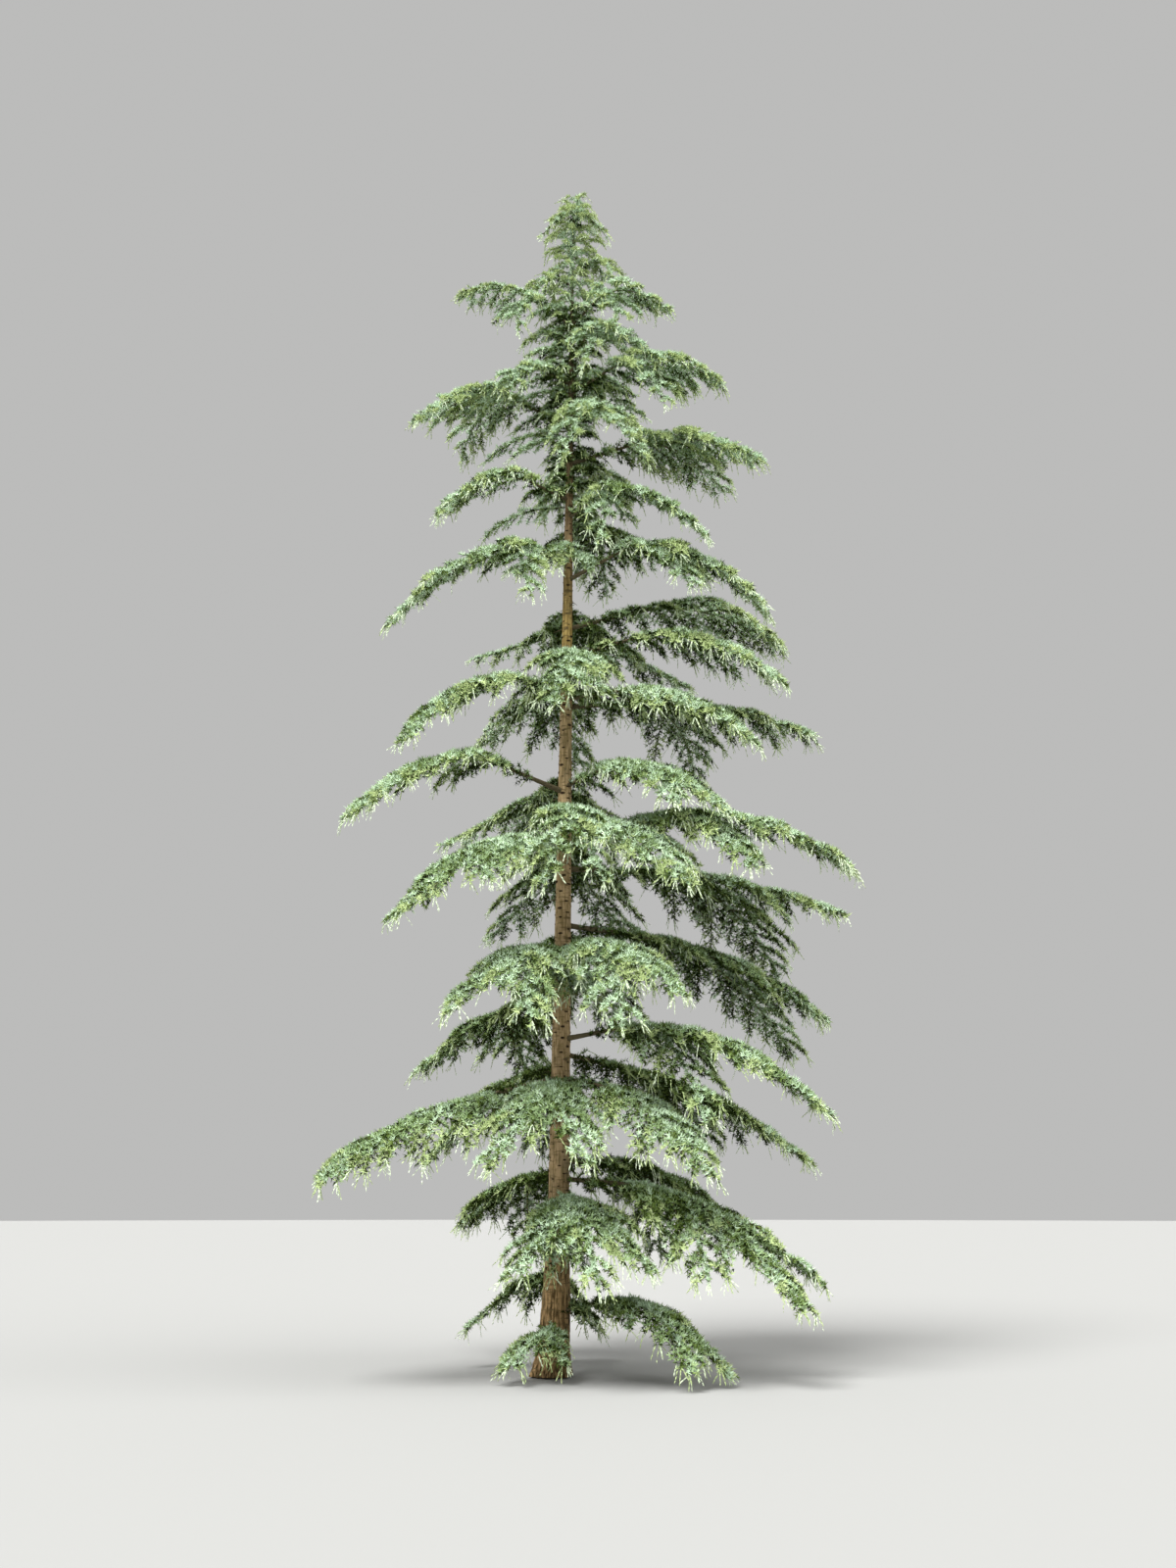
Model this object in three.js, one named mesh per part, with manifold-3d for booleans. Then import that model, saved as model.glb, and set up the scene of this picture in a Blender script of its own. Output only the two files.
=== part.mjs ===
// A young deodar cedar rooted in open ground: one slightly leaning trunk, and tiers of boughs
// that leave it nearly level, arch over and droop under flat, hanging sprays of needles.
// Millimetres, +Z up. The origin is the middle of the flat cut under the trunk, at ground level.
// A heading is in degrees from +X towards +Y, so -90 is the side that is seen first.

import * as THREE from 'three';
import { mergeVertices } from 'three/addons/utils/BufferGeometryUtils.js';
import Module from 'manifold-3d';

const wasm = await Module();
wasm.setup();

// Trunk
const TREE_HEIGHT = 12400;
const TRUNK_LEAN = 130;
const FOOT_SWEEP = 50;
const FOOT_SWEEP_HEIGHT = 500;
const LEADER_NOD = 60;
const LEADER_LENGTH = 600;
const TRUNK_RADIUS = 112;
const TRUNK_TAPER = 0.85;
const TRUNK_TIP_RADIUS = 5;
const FLARE_RADIUS = 70;
const FLARE_HEIGHT = 330;
const ROOT_LOBES = 4;
const ROOT_LOBE_DEPTH = 0.09;
const TRUNK_SIDES = 12;
const FOOT_LEVELS = [0, 60, 140, 250, 400, 620];
const MIDDLE_LEVEL_PITCH = 1000;
const LEADER_LEVELS = [11500, 11750, 11950, 12100, 12250, 12400];

// Boughs and leads
const FORK_SHARE = 0.3;
const SHOULDER_SHARE = 0.5;
const BOUGH_BASE_RADIUS = 9;
const BOUGH_RADIUS_PER_REACH = 0.006;
const BOUGH_TO_TRUNK = 0.7;
const FORK_RADIUS_SHARE = 0.72;
const LEAD_TIP_RADIUS = 4;
const SIDE_LEAD_SHARE = 0.65;
const BOUGH_SIDES = 6;
const STEM_SIDES = 3;
const STEM_SIDE_GAIN = 1.25;
const LEAD_STEPS = 3;
const GAP = 0.3;

// Side shoots, each of which carries one spray
const FIRST_SEED = 1000;
const SEED_STEP = 97;
const SHOOT_PITCH = 85;
const FEWEST_SHOOTS = 6;
const INNER_SHOOT_PITCH = 130;
const INNER_START = 0.35;
const LAST_SHOOT_AT = 0.97;
const SIDE_SHARE = 0.26;
const SIDE_LENGTH_MORE = 130;
const INNER_SIDE_SHARE = 0.16;
const SHOOT_LENGTH_SPREAD = 0.4;
const WIDEST_AT = 0.3;
const WIDTH_AT_FORK = 0.55;
const WIDTH_AT_TIP = 0.16;
const SHOOT_ANGLE = 58;
const SHOOT_ANGLE_FALL = 22;
const SHOOT_ANGLE_SPREAD = 20;
const DROOP = 0.22;
const DROOP_SPREAD = 0.25;
const SLOPE_FOLLOWED = 0.5;

// Sprays
const KEPT_PITCH = 560;
const KEPT_MORE = 1;
const STEM_END = 0.82;
const KEEP_INNER_EVERY = 2;
const TERMINAL_START = 0.76;
const SPRAY_CENTRE = 0.45;
const SPRAY_ARCH = 0.07;
const SPRAY_WIDTH = 0.26;
const TOOTH_AT = 0.66;
const NOTCH_AT = 0.57;
const NOTCH_SHARE = 0.4;
const TOOTH_HANG = 0.5;
const SPRAY_THICKNESS = 0.05;
const SPRAY_CLEARANCE = 4;
const GROUND_CLEARANCE = 30;

// Each bough: the height at which its axis leaves the trunk's, the rise of its first stretch in
// degrees, and for each lead that it forks into the heading, the reach and the fall of the tip
// below the height. A bough with a limb of its own shows bare wood as far as its fork.
const BOUGHS = [
  { name: '01_front_left', height: 430, lift: 0, leads: [[-116, 900, 280], [-80, 700, 260]] },
  { name: '01_right', height: 560, lift: 12, leads: [[-46, 1750, 390], [-30, 1750, 460]] },
  { name: '01_back', height: 840, lift: 5, leads: [[138, 1200, 480], [75, 1500, 560]] },
  { name: '02_front', height: 1520, lift: 6, leads: [[-104, 1600, 590], [-78, 1750, 680], [-60, 1650, 570]] },
  {
    name: '02_right',
    height: 1760,
    lift: -4,
    leads: [[-50, 2000, 860], [-31, 2450, 1110], [-10, 2350, 900]],
  },
  { name: '02_back_right', height: 1920, lift: 2, leads: [[30, 2350, 1020], [62, 2200, 950]] },
  { name: '02_back_left', height: 1800, lift: 0, leads: [[98, 2000, 850], [123, 1900, 500]] },
  { name: '03_left', height: 2700, lift: -13, limb: true, leads: [[-142, 2550, 960]] },
  { name: '03_front', height: 2640, lift: -4, leads: [[-109, 1800, 820], [-82, 1800, 780]] },
  { name: '03_front_right', height: 2700, lift: -10, leads: [[-53, 2100, 940]] },
  { name: '03_back_right', height: 2930, lift: -8, leads: [[20, 2600, 990], [50, 2300, 800]] },
  { name: '03_back', height: 2800, lift: 0, leads: [[90, 2300, 900], [132, 2100, 850]] },
  { name: '04_right', height: 3060, lift: 6, limb: true, leads: [[-23, 2600, 760], [-48, 1900, 850]] },
  { name: '04_back_left', height: 3560, lift: -4, leads: [[134, 2200, 680], [100, 2200, 720]] },
  { name: '05_front_left', height: 3860, lift: 0, leads: [[-120, 1900, 740], [-97, 1850, 820]] },
  { name: '05_front_right', height: 3850, lift: 4, leads: [[-74, 1950, 870], [-58, 2000, 580]] },
  { name: '05_right', height: 4180, lift: -4, leads: [[15, 2700, 850], [31, 2800, 1150]] },
  { name: '05_back', height: 4100, lift: 2, leads: [[70, 2500, 950], [105, 2300, 850]] },
  { name: '06_left', height: 5000, lift: -6, leads: [[-129, 2300, 1080], [-112, 1850, 700]] },
  { name: '06_front', height: 5080, lift: 12, leads: [[-95, 1700, 850], [-76, 1550, 770]] },
  { name: '06_front_right', height: 5120, lift: -4, leads: [[-58, 2100, 900]] },
  { name: '06_right', height: 4950, lift: 12, limb: true, leads: [[-41, 2300, 510], [-22, 2850, 420]] },
  { name: '06_back_right', height: 4740, lift: 2, leads: [[7, 2800, 380], [34, 2750, 880]] },
  { name: '06_back', height: 5060, lift: 4, leads: [[70, 2400, 800], [112, 2250, 700]] },
  { name: '07_left', height: 5520, lift: 12, limb: true, leads: [[-144, 2400, 600]] },
  { name: '07_front_right', height: 5580, lift: 6, leads: [[-57, 1900, 560], [-42, 2000, 590]] },
  { name: '07_back', height: 5700, lift: 4, leads: [[60, 2200, 600], [95, 2100, 600], [133, 2000, 400]] },
  { name: '08_left', height: 6620, lift: -2, leads: [[-142, 1900, 900]] },
  { name: '08_front', height: 6860, lift: -4, leads: [[-95, 1500, 900], [-74, 1350, 720]] },
  { name: '08_front_right', height: 6500, lift: -2, leads: [[-34, 2100, 780]] },
  { name: '08_right', height: 6420, lift: 10, leads: [[10, 2600, 150], [46, 2000, 330]] },
  { name: '08_back', height: 6800, lift: 4, leads: [[85, 1900, 500], [122, 1800, 350]] },
  { name: '09_right', height: 6950, lift: 8, leads: [[-23, 2250, 550]] },
  { name: '09_back_right', height: 7260, lift: 17, leads: [[7, 2250, 120]] },
  { name: '09_back', height: 7500, lift: 6, leads: [[45, 1900, 450], [90, 1800, 450], [135, 1500, 200]] },
  { name: '10_left', height: 7960, lift: 1, leads: [[-147, 2000, 1050], [-105, 1250, 820]] },
  { name: '10_right', height: 7800, lift: 14, limb: true, leads: [[-46, 1700, 550], [-25, 2150, 730]] },
  { name: '11_left', height: 8700, lift: 10, leads: [[-146, 1550, 590]] },
  { name: '11_front_right', height: 8500, lift: 8, leads: [[-76, 1200, 800], [-41, 1800, 760]] },
  { name: '11_back', height: 8600, lift: 10, leads: [[30, 1700, 350], [75, 1600, 350], [120, 1400, 200]] },
  { name: '12_right', height: 9120, lift: 15, leads: [[-23, 2100, 360], [12, 1700, 160]] },
  { name: '12_front', height: 9450, lift: 8, leads: [[-56, 1400, 900], [-95, 1150, 900]] },
  { name: '12_left', height: 9560, lift: 28, leads: [[-157, 1700, 300], [150, 1400, 60]] },
  { name: '12_back', height: 9300, lift: 12, leads: [[60, 1400, 300], [105, 1350, 250]] },
  { name: '13_right', height: 9940, lift: 16, leads: [[-24, 1700, 260], [-45, 1350, 630]] },
  { name: '13_left', height: 10050, lift: 12, leads: [[-130, 950, 500], [-165, 1000, 450]] },
  { name: '13_back', height: 10300, lift: 16, leads: [[45, 1150, 200], [105, 1050, 200]] },
  { name: '13_upper_right', height: 10380, lift: 18, leads: [[-38, 1150, 560], [-82, 850, 620]] },
  { name: '14_left', height: 10760, lift: 34, leads: [[167, 1250, -520], [-134, 800, 400]] },
  { name: '14_right', height: 10760, lift: 22, leads: [[-30, 1200, 210], [-62, 1000, 560]] },
  { name: '14_back', height: 10900, lift: 26, leads: [[40, 850, 180], [110, 800, 200]] },
  { name: '15_left', height: 11250, lift: 32, leads: [[-140, 480, 260], [130, 480, 160]] },
  { name: '15_right', height: 11420, lift: 34, leads: [[-35, 520, 260], [45, 480, 120]] },
  { name: '16_leader', height: 11900, lift: 40, leads: [[-28, 420, 180], [-150, 380, 130]] },
];

// Colours and finish
const BARK = { color: 0x7d6f60, roughness: 0.95, metalness: 0 };
const BOUGH_WOOD = { color: 0x75695a, roughness: 0.9, metalness: 0 };
const NEEDLES = { color: 0x7d9c86, roughness: 0.75, metalness: 0 };

const UP = new THREE.Vector3(0, 0, 1);

// A seeded row of numbers between 0 and 1, the same on every run.
function seededDraws(seed) {
  let state = seed;
  const draw = () => {
    state = (state * 16807) % 2147483647;
    return state / 2147483647;
  };
  for (let skipped = 0; skipped < 4; skipped += 1) {
    draw();
  }
  return draw;
}

function flatHeading(degrees) {
  const angle = THREE.MathUtils.degToRad(degrees);
  return new THREE.Vector3(Math.cos(angle), Math.sin(angle), 0);
}

// A closed three.js geometry as a solid that can be cut and joined.
function solidOf(geometry) {
  const bare = geometry.clone();
  bare.deleteAttribute('normal');
  bare.deleteAttribute('uv');
  const merged = mergeVertices(bare, 1e-4);
  const vertProperties = new Float32Array(merged.getAttribute('position').array);
  const triVerts = new Uint32Array(merged.getIndex().array);
  return new wasm.Manifold(new wasm.Mesh({ numProp: 3, vertProperties, triVerts }));
}

function geometryOf(solid) {
  const mesh = solid.getMesh();
  const geometry = new THREE.BufferGeometry();
  geometry.setAttribute('position', new THREE.BufferAttribute(mesh.vertProperties, 3));
  geometry.setIndex(new THREE.BufferAttribute(mesh.triVerts, 1));
  geometry.computeVertexNormals();
  return geometry;
}

// The middle of the trunk at a height: a lean, a sweep at the foot and a nod at the very top.
function trunkAxis(height) {
  const sweep = FOOT_SWEEP * (1 - Math.exp(-height / FOOT_SWEEP_HEIGHT));
  const lean = TRUNK_LEAN * height / TREE_HEIGHT;
  const above = Math.max(0, height - TREE_HEIGHT + LEADER_LENGTH) / LEADER_LENGTH;
  return new THREE.Vector3(sweep + lean + LEADER_NOD * above * above, 0, height);
}

function trunkRadius(height) {
  const taper = Math.pow(1 - height / TREE_HEIGHT, TRUNK_TAPER);
  const flare = FLARE_RADIUS * Math.exp(-height / FLARE_HEIGHT);
  return Math.max(TRUNK_TIP_RADIUS, TRUNK_RADIUS * taper + flare);
}

// The heights of the trunk's rings, close together at the foot and along the leader.
function trunkLevels() {
  const levels = [...FOOT_LEVELS];
  for (let height = MIDDLE_LEVEL_PITCH; height < LEADER_LEVELS[0]; height += MIDDLE_LEVEL_PITCH) {
    levels.push(height);
  }
  return [...levels, ...LEADER_LEVELS];
}

// The trunk, from the flat cut at the ground to its tip, with low lobes where the roots start.
function trunkSolid(extra) {
  const levels = trunkLevels();
  const steps = levels.length - 1;
  const geometry = new THREE.CylinderGeometry(1, 1, 1, TRUNK_SIDES, steps);
  const position = geometry.getAttribute('position');
  for (let i = 0; i < position.count; i += 1) {
    const height = levels[Math.round((position.getY(i) + 0.5) * steps)];
    const axis = trunkAxis(height);
    const angle = Math.atan2(-position.getZ(i), position.getX(i));
    const lobe = ROOT_LOBE_DEPTH * Math.exp(-height / FLARE_HEIGHT) * Math.cos(ROOT_LOBES * angle);
    const radius = trunkRadius(height) * (1 + lobe) + extra;
    const x = axis.x + position.getX(i) * radius;
    position.setXYZ(i, x, axis.y - position.getZ(i) * radius, height);
  }
  return solidOf(geometry);
}

// A tapering round or three-sided rod through the given points.
function taperedRod(points, radii, sides) {
  const steps = points.length - 1;
  const geometry = new THREE.CylinderGeometry(1, 1, 1, sides, steps, false, Math.PI);
  const position = geometry.getAttribute('position');
  for (let i = 0; i < position.count; i += 1) {
    const ring = Math.round((position.getY(i) + 0.5) * steps);
    const before = points[Math.max(0, ring - 1)];
    const after = points[Math.min(steps, ring + 1)];
    const along = after.clone().sub(before).normalize();
    const side = along.clone().cross(UP).normalize();
    const up = side.clone().cross(along);
    const place = points[ring].clone();
    place.addScaledVector(side, position.getX(i) * radii[ring]);
    place.addScaledVector(up, position.getZ(i) * radii[ring]);
    position.setXYZ(i, place.x, place.y, place.z);
  }
  return solidOf(geometry);
}

// Where a bough starts, how it heads and where it forks into its leads.
function boughLine(bough) {
  const heading = new THREE.Vector3();
  let reaches = 0;
  for (const [degrees, reach] of bough.leads) {
    heading.addScaledVector(flatHeading(degrees), reach);
    reaches += reach;
  }
  heading.normalize();
  heading.z = Math.tan(THREE.MathUtils.degToRad(bough.lift));
  const meanReach = reaches / bough.leads.length;
  const start = trunkAxis(bough.height);
  const fork = start.clone().addScaledVector(heading, FORK_SHARE * meanReach);
  const fullRadius = BOUGH_BASE_RADIUS + BOUGH_RADIUS_PER_REACH * meanReach;
  const baseRadius = Math.min(fullRadius, BOUGH_TO_TRUNK * trunkRadius(bough.height));
  return { start, fork, heading, meanReach, baseRadius, forkRadius: FORK_RADIUS_SHARE * baseRadius };
}

// One lead: it goes on from the fork the way the bough heads, arches over and falls to its tip.
function leadCurve(line, [degrees, reach, fall]) {
  const tip = line.start.clone().addScaledVector(flatHeading(degrees), reach);
  tip.z -= fall;
  const run = Math.hypot(tip.x - line.fork.x, tip.y - line.fork.y);
  const shoulder = line.fork.clone().addScaledVector(line.heading, SHOULDER_SHARE * run);
  return { curve: new THREE.QuadraticBezierCurve3(line.fork, shoulder, tip), run, reach };
}

// A point on the straight stretches that the stem of a lead is made of.
function stemPoint(lead, along) {
  const place = Math.min(LEAD_STEPS * along / STEM_END, LEAD_STEPS);
  const step = Math.min(Math.floor(place), LEAD_STEPS - 1);
  const from = lead.curve.getPoint(STEM_END * step / LEAD_STEPS);
  const to = lead.curve.getPoint(STEM_END * (step + 1) / LEAD_STEPS);
  return from.lerp(to, place - step);
}

// How wide the lead's fan of side shoots is, as a share of its widest.
function fanWidth(along) {
  if (along < WIDEST_AT) {
    return WIDTH_AT_FORK + (1 - WIDTH_AT_FORK) * along / WIDEST_AT;
  }
  return 1 - (1 - WIDTH_AT_TIP) * (along - WIDEST_AT) / (1 - WIDEST_AT);
}

// A side shoot's root and tip, from three draws and the way that its lead heads there.
function sideShoot(root, ahead, side, length, along, draw) {
  const size = length * (1 - SHOOT_LENGTH_SPREAD / 2 + SHOOT_LENGTH_SPREAD * draw());
  const turn = SHOOT_ANGLE - SHOOT_ANGLE_FALL * along + SHOOT_ANGLE_SPREAD * (draw() - 0.5);
  const droop = DROOP + DROOP_SPREAD * draw();
  const tip = root.clone();
  const flat = new THREE.Vector3(ahead.x, ahead.y, 0).normalize();
  flat.applyAxisAngle(UP, side * THREE.MathUtils.degToRad(turn));
  tip.addScaledVector(flat, size);
  tip.z += size * (SLOPE_FOLLOWED * ahead.z - droop);
  return { root, tip };
}

// All side shoots of one lead, left and right by turns.
function shootsOfLead(lead, draw) {
  const count = Math.max(FEWEST_SHOOTS, Math.floor(lead.run / SHOOT_PITCH + 0.5));
  const shoots = [];
  for (let k = 0; k < count; k += 1) {
    const along = LAST_SHOOT_AT * (k + 0.5) / count;
    const root = stemPoint(lead, along);
    const ahead = lead.curve.getTangent(along);
    const side = k % 2 === 0 ? 1 : -1;
    const length = (SIDE_SHARE * lead.reach + SIDE_LENGTH_MORE) * fanWidth(along);
    shoots.push({ along, ...sideShoot(root, ahead, side, length, along, draw) });
  }
  return shoots;
}

// Short shoots on the stretch between the trunk and the fork.
function innerShoots(line, draw) {
  const stretch = line.fork.clone().sub(line.start);
  const ahead = stretch.clone().normalize();
  const count = Math.floor((1 - INNER_START) * stretch.length() / INNER_SHOOT_PITCH + 0.5);
  const shoots = [];
  for (let k = 0; k < count; k += 1) {
    const along = INNER_START + (1 - INNER_START) * k / count;
    const root = line.start.clone().addScaledVector(stretch, along);
    const side = k % 2 === 0 ? 1 : -1;
    shoots.push(sideShoot(root, ahead, side, INNER_SIDE_SHARE * line.meanReach, 0, draw));
  }
  return shoots;
}

// A spray: a toothed blade that arches a little over its shoot and hangs at its teeth and tip.
function spraySolid({ root, tip }) {
  const reach = tip.clone().sub(root);
  const length = reach.length();
  const along = reach.clone().normalize();
  const side = along.clone().cross(UP).normalize();
  const at = (share, across, rise) => {
    const place = root.clone().addScaledVector(reach, share);
    place.addScaledVector(side, across * length);
    place.z += rise * length;
    return place;
  };
  const toothRise = -TOOTH_HANG * SPRAY_WIDTH;
  const notchWidth = NOTCH_SHARE * SPRAY_WIDTH;
  const notchRise = SPRAY_ARCH / 2 - TOOTH_HANG * notchWidth;
  const outline = [
    at(0, 0, 0),
    at(TOOTH_AT, SPRAY_WIDTH, toothRise),
    at(NOTCH_AT, notchWidth, notchRise),
    at(1, 0, 0),
    at(NOTCH_AT, -notchWidth, notchRise),
    at(TOOTH_AT, -SPRAY_WIDTH, toothRise),
  ];
  const top = at(SPRAY_CENTRE, 0, SPRAY_ARCH);
  const bottom = at(SPRAY_CENTRE, 0, SPRAY_ARCH - SPRAY_THICKNESS);
  const geometry = new THREE.BufferGeometry().setFromPoints([...outline, top, bottom]);
  const faces = [];
  for (let k = 0; k < outline.length; k += 1) {
    const next = (k + 1) % outline.length;
    faces.push(k, next, outline.length);
    faces.push(next, k, outline.length + 1);
  }
  geometry.setIndex(faces);
  return solidOf(geometry);
}

// The blade at the end of a lead, in line with it.
function terminalShoot(lead) {
  return { root: stemPoint(lead, TERMINAL_START), tip: lead.curve.getPoint(1) };
}

// The limb of a bough that shows bare wood, cut clear of the trunk.
function limbSolid(line, trunkCutter) {
  const rod = taperedRod([line.start, line.fork], [line.baseRadius, line.forkRadius], BOUGH_SIDES);
  return largestBody(rod.subtract(trunkCutter));
}

// The start of a mass's stem: just clear of its limb's end, or inside the trunk to be cut clear.
function stemStart(bough, line, ahead) {
  if (bough.limb) {
    const near = line.fork.clone().addScaledVector(ahead, GAP);
    const far = near.clone().addScaledVector(ahead, 2 * line.forkRadius);
    return { points: [near, far], radii: [line.forkRadius, line.forkRadius] };
  }
  return { points: [line.start, line.fork], radii: [line.baseRadius, line.forkRadius] };
}

// The wood of a mass: its stem runs on into the first lead, and a slimmer rod is every other one.
function stemSolid(bough, line, leads, trunkCutter) {
  const ahead = line.heading.clone().normalize();
  const sideStart = bough.limb ? GAP + line.forkRadius : 0;
  let wood = null;
  leads.forEach((lead, index) => {
    const thickness = index === 0 ? 1 : SIDE_LEAD_SHARE;
    const sideRoot = line.fork.clone().addScaledVector(ahead, sideStart);
    const sideRod = { points: [sideRoot], radii: [line.forkRadius * thickness] };
    const { points, radii } = index === 0 ? stemStart(bough, line, ahead) : sideRod;
    for (let step = 1; step <= LEAD_STEPS; step += 1) {
      const along = STEM_END * step / LEAD_STEPS;
      points.push(lead.curve.getPoint(along));
      radii.push(THREE.MathUtils.lerp(line.forkRadius * thickness, LEAD_TIP_RADIUS, along));
    }
    const gained = radii.map((radius) => radius * STEM_SIDE_GAIN);
    const rod = taperedRod(points, gained, STEM_SIDES);
    wood = wood === null ? rod : wood.add(rod);
  });
  return bough.limb ? wood : largestBody(wood.subtract(trunkCutter));
}

// The main body of a solid, without any loose scrap that a cut left beside it.
function largestBody(solid) {
  const bodies = solid.decompose();
  return bodies.reduce((largest, body) => (body.volume() > largest.volume() ? body : largest));
}

function boxesAreNear(first, second, distance) {
  const a = first.boundingBox();
  const b = second.boundingBox();
  return [0, 1, 2].every((axis) => (
    a.min[axis] - distance < b.max[axis] && b.min[axis] - distance < a.max[axis]
  ));
}

function touchesAny(solid, others, distance) {
  return others.some((other) => (
    boxesAreNear(solid, other, distance) && solid.minGap(other, distance) < distance
  ));
}

// The shoots that carry a spray here: every lead's end, so many of its side shoots, evenly
// picked, and some of the short ones near the trunk.
function keptShoots(bough, line, leads, draw) {
  const kept = [];
  leads.forEach((lead) => {
    const shoots = shootsOfLead(lead, draw).filter((shoot) => shoot.along < TERMINAL_START);
    const count = KEPT_MORE + Math.floor(lead.reach / KEPT_PITCH + 0.5);
    kept.push(terminalShoot(lead));
    for (let k = 0; k < count; k += 1) {
      kept.push(shoots[Math.floor((k + 0.5) * shoots.length / count)]);
    }
  });
  if (!bough.limb) {
    const shoots = innerShoots(line, draw);
    for (let k = 1; k < shoots.length; k += KEEP_INNER_EVERY) {
      kept.push(shoots[k]);
    }
  }
  return kept;
}

// The whole tree: trunk and limbs first, then every mass's stem, then the sprays, one by one,
// each left out where it would come near another piece or the ground.
function growTree() {
  const trunk = trunkSolid(0);
  const trunkCutter = trunkSolid(GAP / Math.cos(Math.PI / TRUNK_SIDES));
  const pieces = [{ name: 'trunk', solid: trunk, finish: BARK }];
  const masses = [];
  BOUGHS.forEach((bough, index) => {
    const line = boughLine(bough);
    const leads = bough.leads.map((lead) => leadCurve(line, lead));
    if (bough.limb) {
      pieces.push({ name: `bough_${bough.name}`, solid: limbSolid(line, trunkCutter), finish: BOUGH_WOOD });
    }
    const draw = seededDraws(FIRST_SEED + SEED_STEP * index);
    masses.push({
      name: `foliage_${bough.name}`,
      solid: stemSolid(bough, line, leads, trunkCutter),
      kept: keptShoots(bough, line, leads, draw),
      finish: NEEDLES,
    });
  });
  for (const mass of masses) {
    const others = [...pieces, ...masses].filter((piece) => piece !== mass).map((piece) => piece.solid);
    const sprays = [];
    for (const shoot of mass.kept) {
      const spray = spraySolid(shoot);
      const low = spray.boundingBox().min[2] < GROUND_CLEARANCE;
      if (!low && !touchesAny(spray, [...others, ...sprays], SPRAY_CLEARANCE)) {
        sprays.push(spray);
      }
    }
    mass.solid = largestBody(wasm.Manifold.union([mass.solid, ...sprays]));
    pieces.push(mass);
  }
  return pieces;
}

const cedar = new THREE.Group();
for (const piece of growTree()) {
  const material = new THREE.MeshStandardMaterial(piece.finish);
  const mesh = new THREE.Mesh(geometryOf(piece.solid), material);
  mesh.name = piece.name;
  cedar.add(mesh);
}

export default cedar;
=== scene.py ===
import math
from collections import namedtuple

import bpy
import numpy as np
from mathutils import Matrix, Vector, kdtree


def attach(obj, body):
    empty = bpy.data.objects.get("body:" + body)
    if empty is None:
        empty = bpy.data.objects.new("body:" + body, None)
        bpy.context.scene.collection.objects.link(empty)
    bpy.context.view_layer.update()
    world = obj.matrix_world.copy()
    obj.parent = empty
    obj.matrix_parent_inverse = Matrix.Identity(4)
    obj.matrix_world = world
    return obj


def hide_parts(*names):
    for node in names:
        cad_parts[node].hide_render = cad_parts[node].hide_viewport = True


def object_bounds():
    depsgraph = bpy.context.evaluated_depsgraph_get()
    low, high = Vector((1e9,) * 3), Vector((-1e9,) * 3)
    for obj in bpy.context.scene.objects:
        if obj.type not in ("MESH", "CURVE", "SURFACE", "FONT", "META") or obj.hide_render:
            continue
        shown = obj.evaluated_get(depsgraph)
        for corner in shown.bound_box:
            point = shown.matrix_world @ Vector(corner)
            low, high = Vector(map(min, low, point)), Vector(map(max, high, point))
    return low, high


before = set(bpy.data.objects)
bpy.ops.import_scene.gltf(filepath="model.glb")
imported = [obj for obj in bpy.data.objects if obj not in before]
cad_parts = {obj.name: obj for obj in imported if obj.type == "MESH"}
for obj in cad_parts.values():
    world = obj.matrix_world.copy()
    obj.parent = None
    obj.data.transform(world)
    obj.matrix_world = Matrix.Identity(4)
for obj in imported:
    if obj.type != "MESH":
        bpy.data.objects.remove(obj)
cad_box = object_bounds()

# The deodar cedar's looks, in metres: the growth rule of the part's source, carried to finer twigs.

# Trunk
TREE_HEIGHT = 12.4
TRUNK_LEAN = 0.13
FOOT_SWEEP = 0.05
FOOT_SWEEP_HEIGHT = 0.5
LEADER_NOD = 0.06
LEADER_LENGTH = 0.6
TRUNK_RADIUS = 0.112
TRUNK_TAPER = 0.85
TRUNK_TIP_RADIUS = 0.005
FLARE_RADIUS = 0.07
FLARE_HEIGHT = 0.33
ROOT_LOBES = [22, 90, 135, 200, 270, 315]
ROOT_LOBE_SWELL = 0.34
ROOT_LOBE_HEIGHT = 0.16
ROOT_RINGS = 7
RING_TOLERANCE = 0.004
TRUNK_SIDES = 16
TRUNK_ROUNDING = 3
FOOT_EDGE = 0.012
FOOT_RING_PITCH = 0.1
RING_PITCH_PER_METRE = 0.012

# Bark: it stands out most above the foot, and its fissures fade upwards to a small share.
BARK_SWELL = 0.02
BARK_SWELL_AT = 0.65
BARK_SWELL_SPREAD = 0.5
ROUGH_BARK_TOP = 0.8
ROUGH_BARK_FADE = 1.4
ROUGH_BARK_STEP = 0.1
ROUGH_BARK_STEPS = 30
SMOOTH_BARK_SHARE = 0.1

# Scars and stubs of lost twigs. Each scar's rings: share of its size, and height off the bark.
SCARS = 420
SCAR_SIDES = 7
SCARS_FROM = 0.9
SCARS_SPAN = 8.0
SCARS_LOWER_CROWDING = 1.3
SCAR_SIZES = (0.008, 0.027)
SCAR_TALLNESS = (0.3, 0.62)
SCAR_RINGS = [(1.0, -0.008), (1.0, 0.003), (0.55, 0.0045), (0.0, 0.001), (0.0, -0.01)]
STUBS = 34
STUBS_FROM = 1.2
STUBS_SPAN = 7.4
STUBS_OF_LOW_STOREY_UP_TO = 5
STUB_SIDES = 5
STUB_RADII = (0.006, 0.0045, 0.002)
STUB_REACH = (0.03, 0.14)
STUB_ROOT_DEPTH = 0.01

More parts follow.
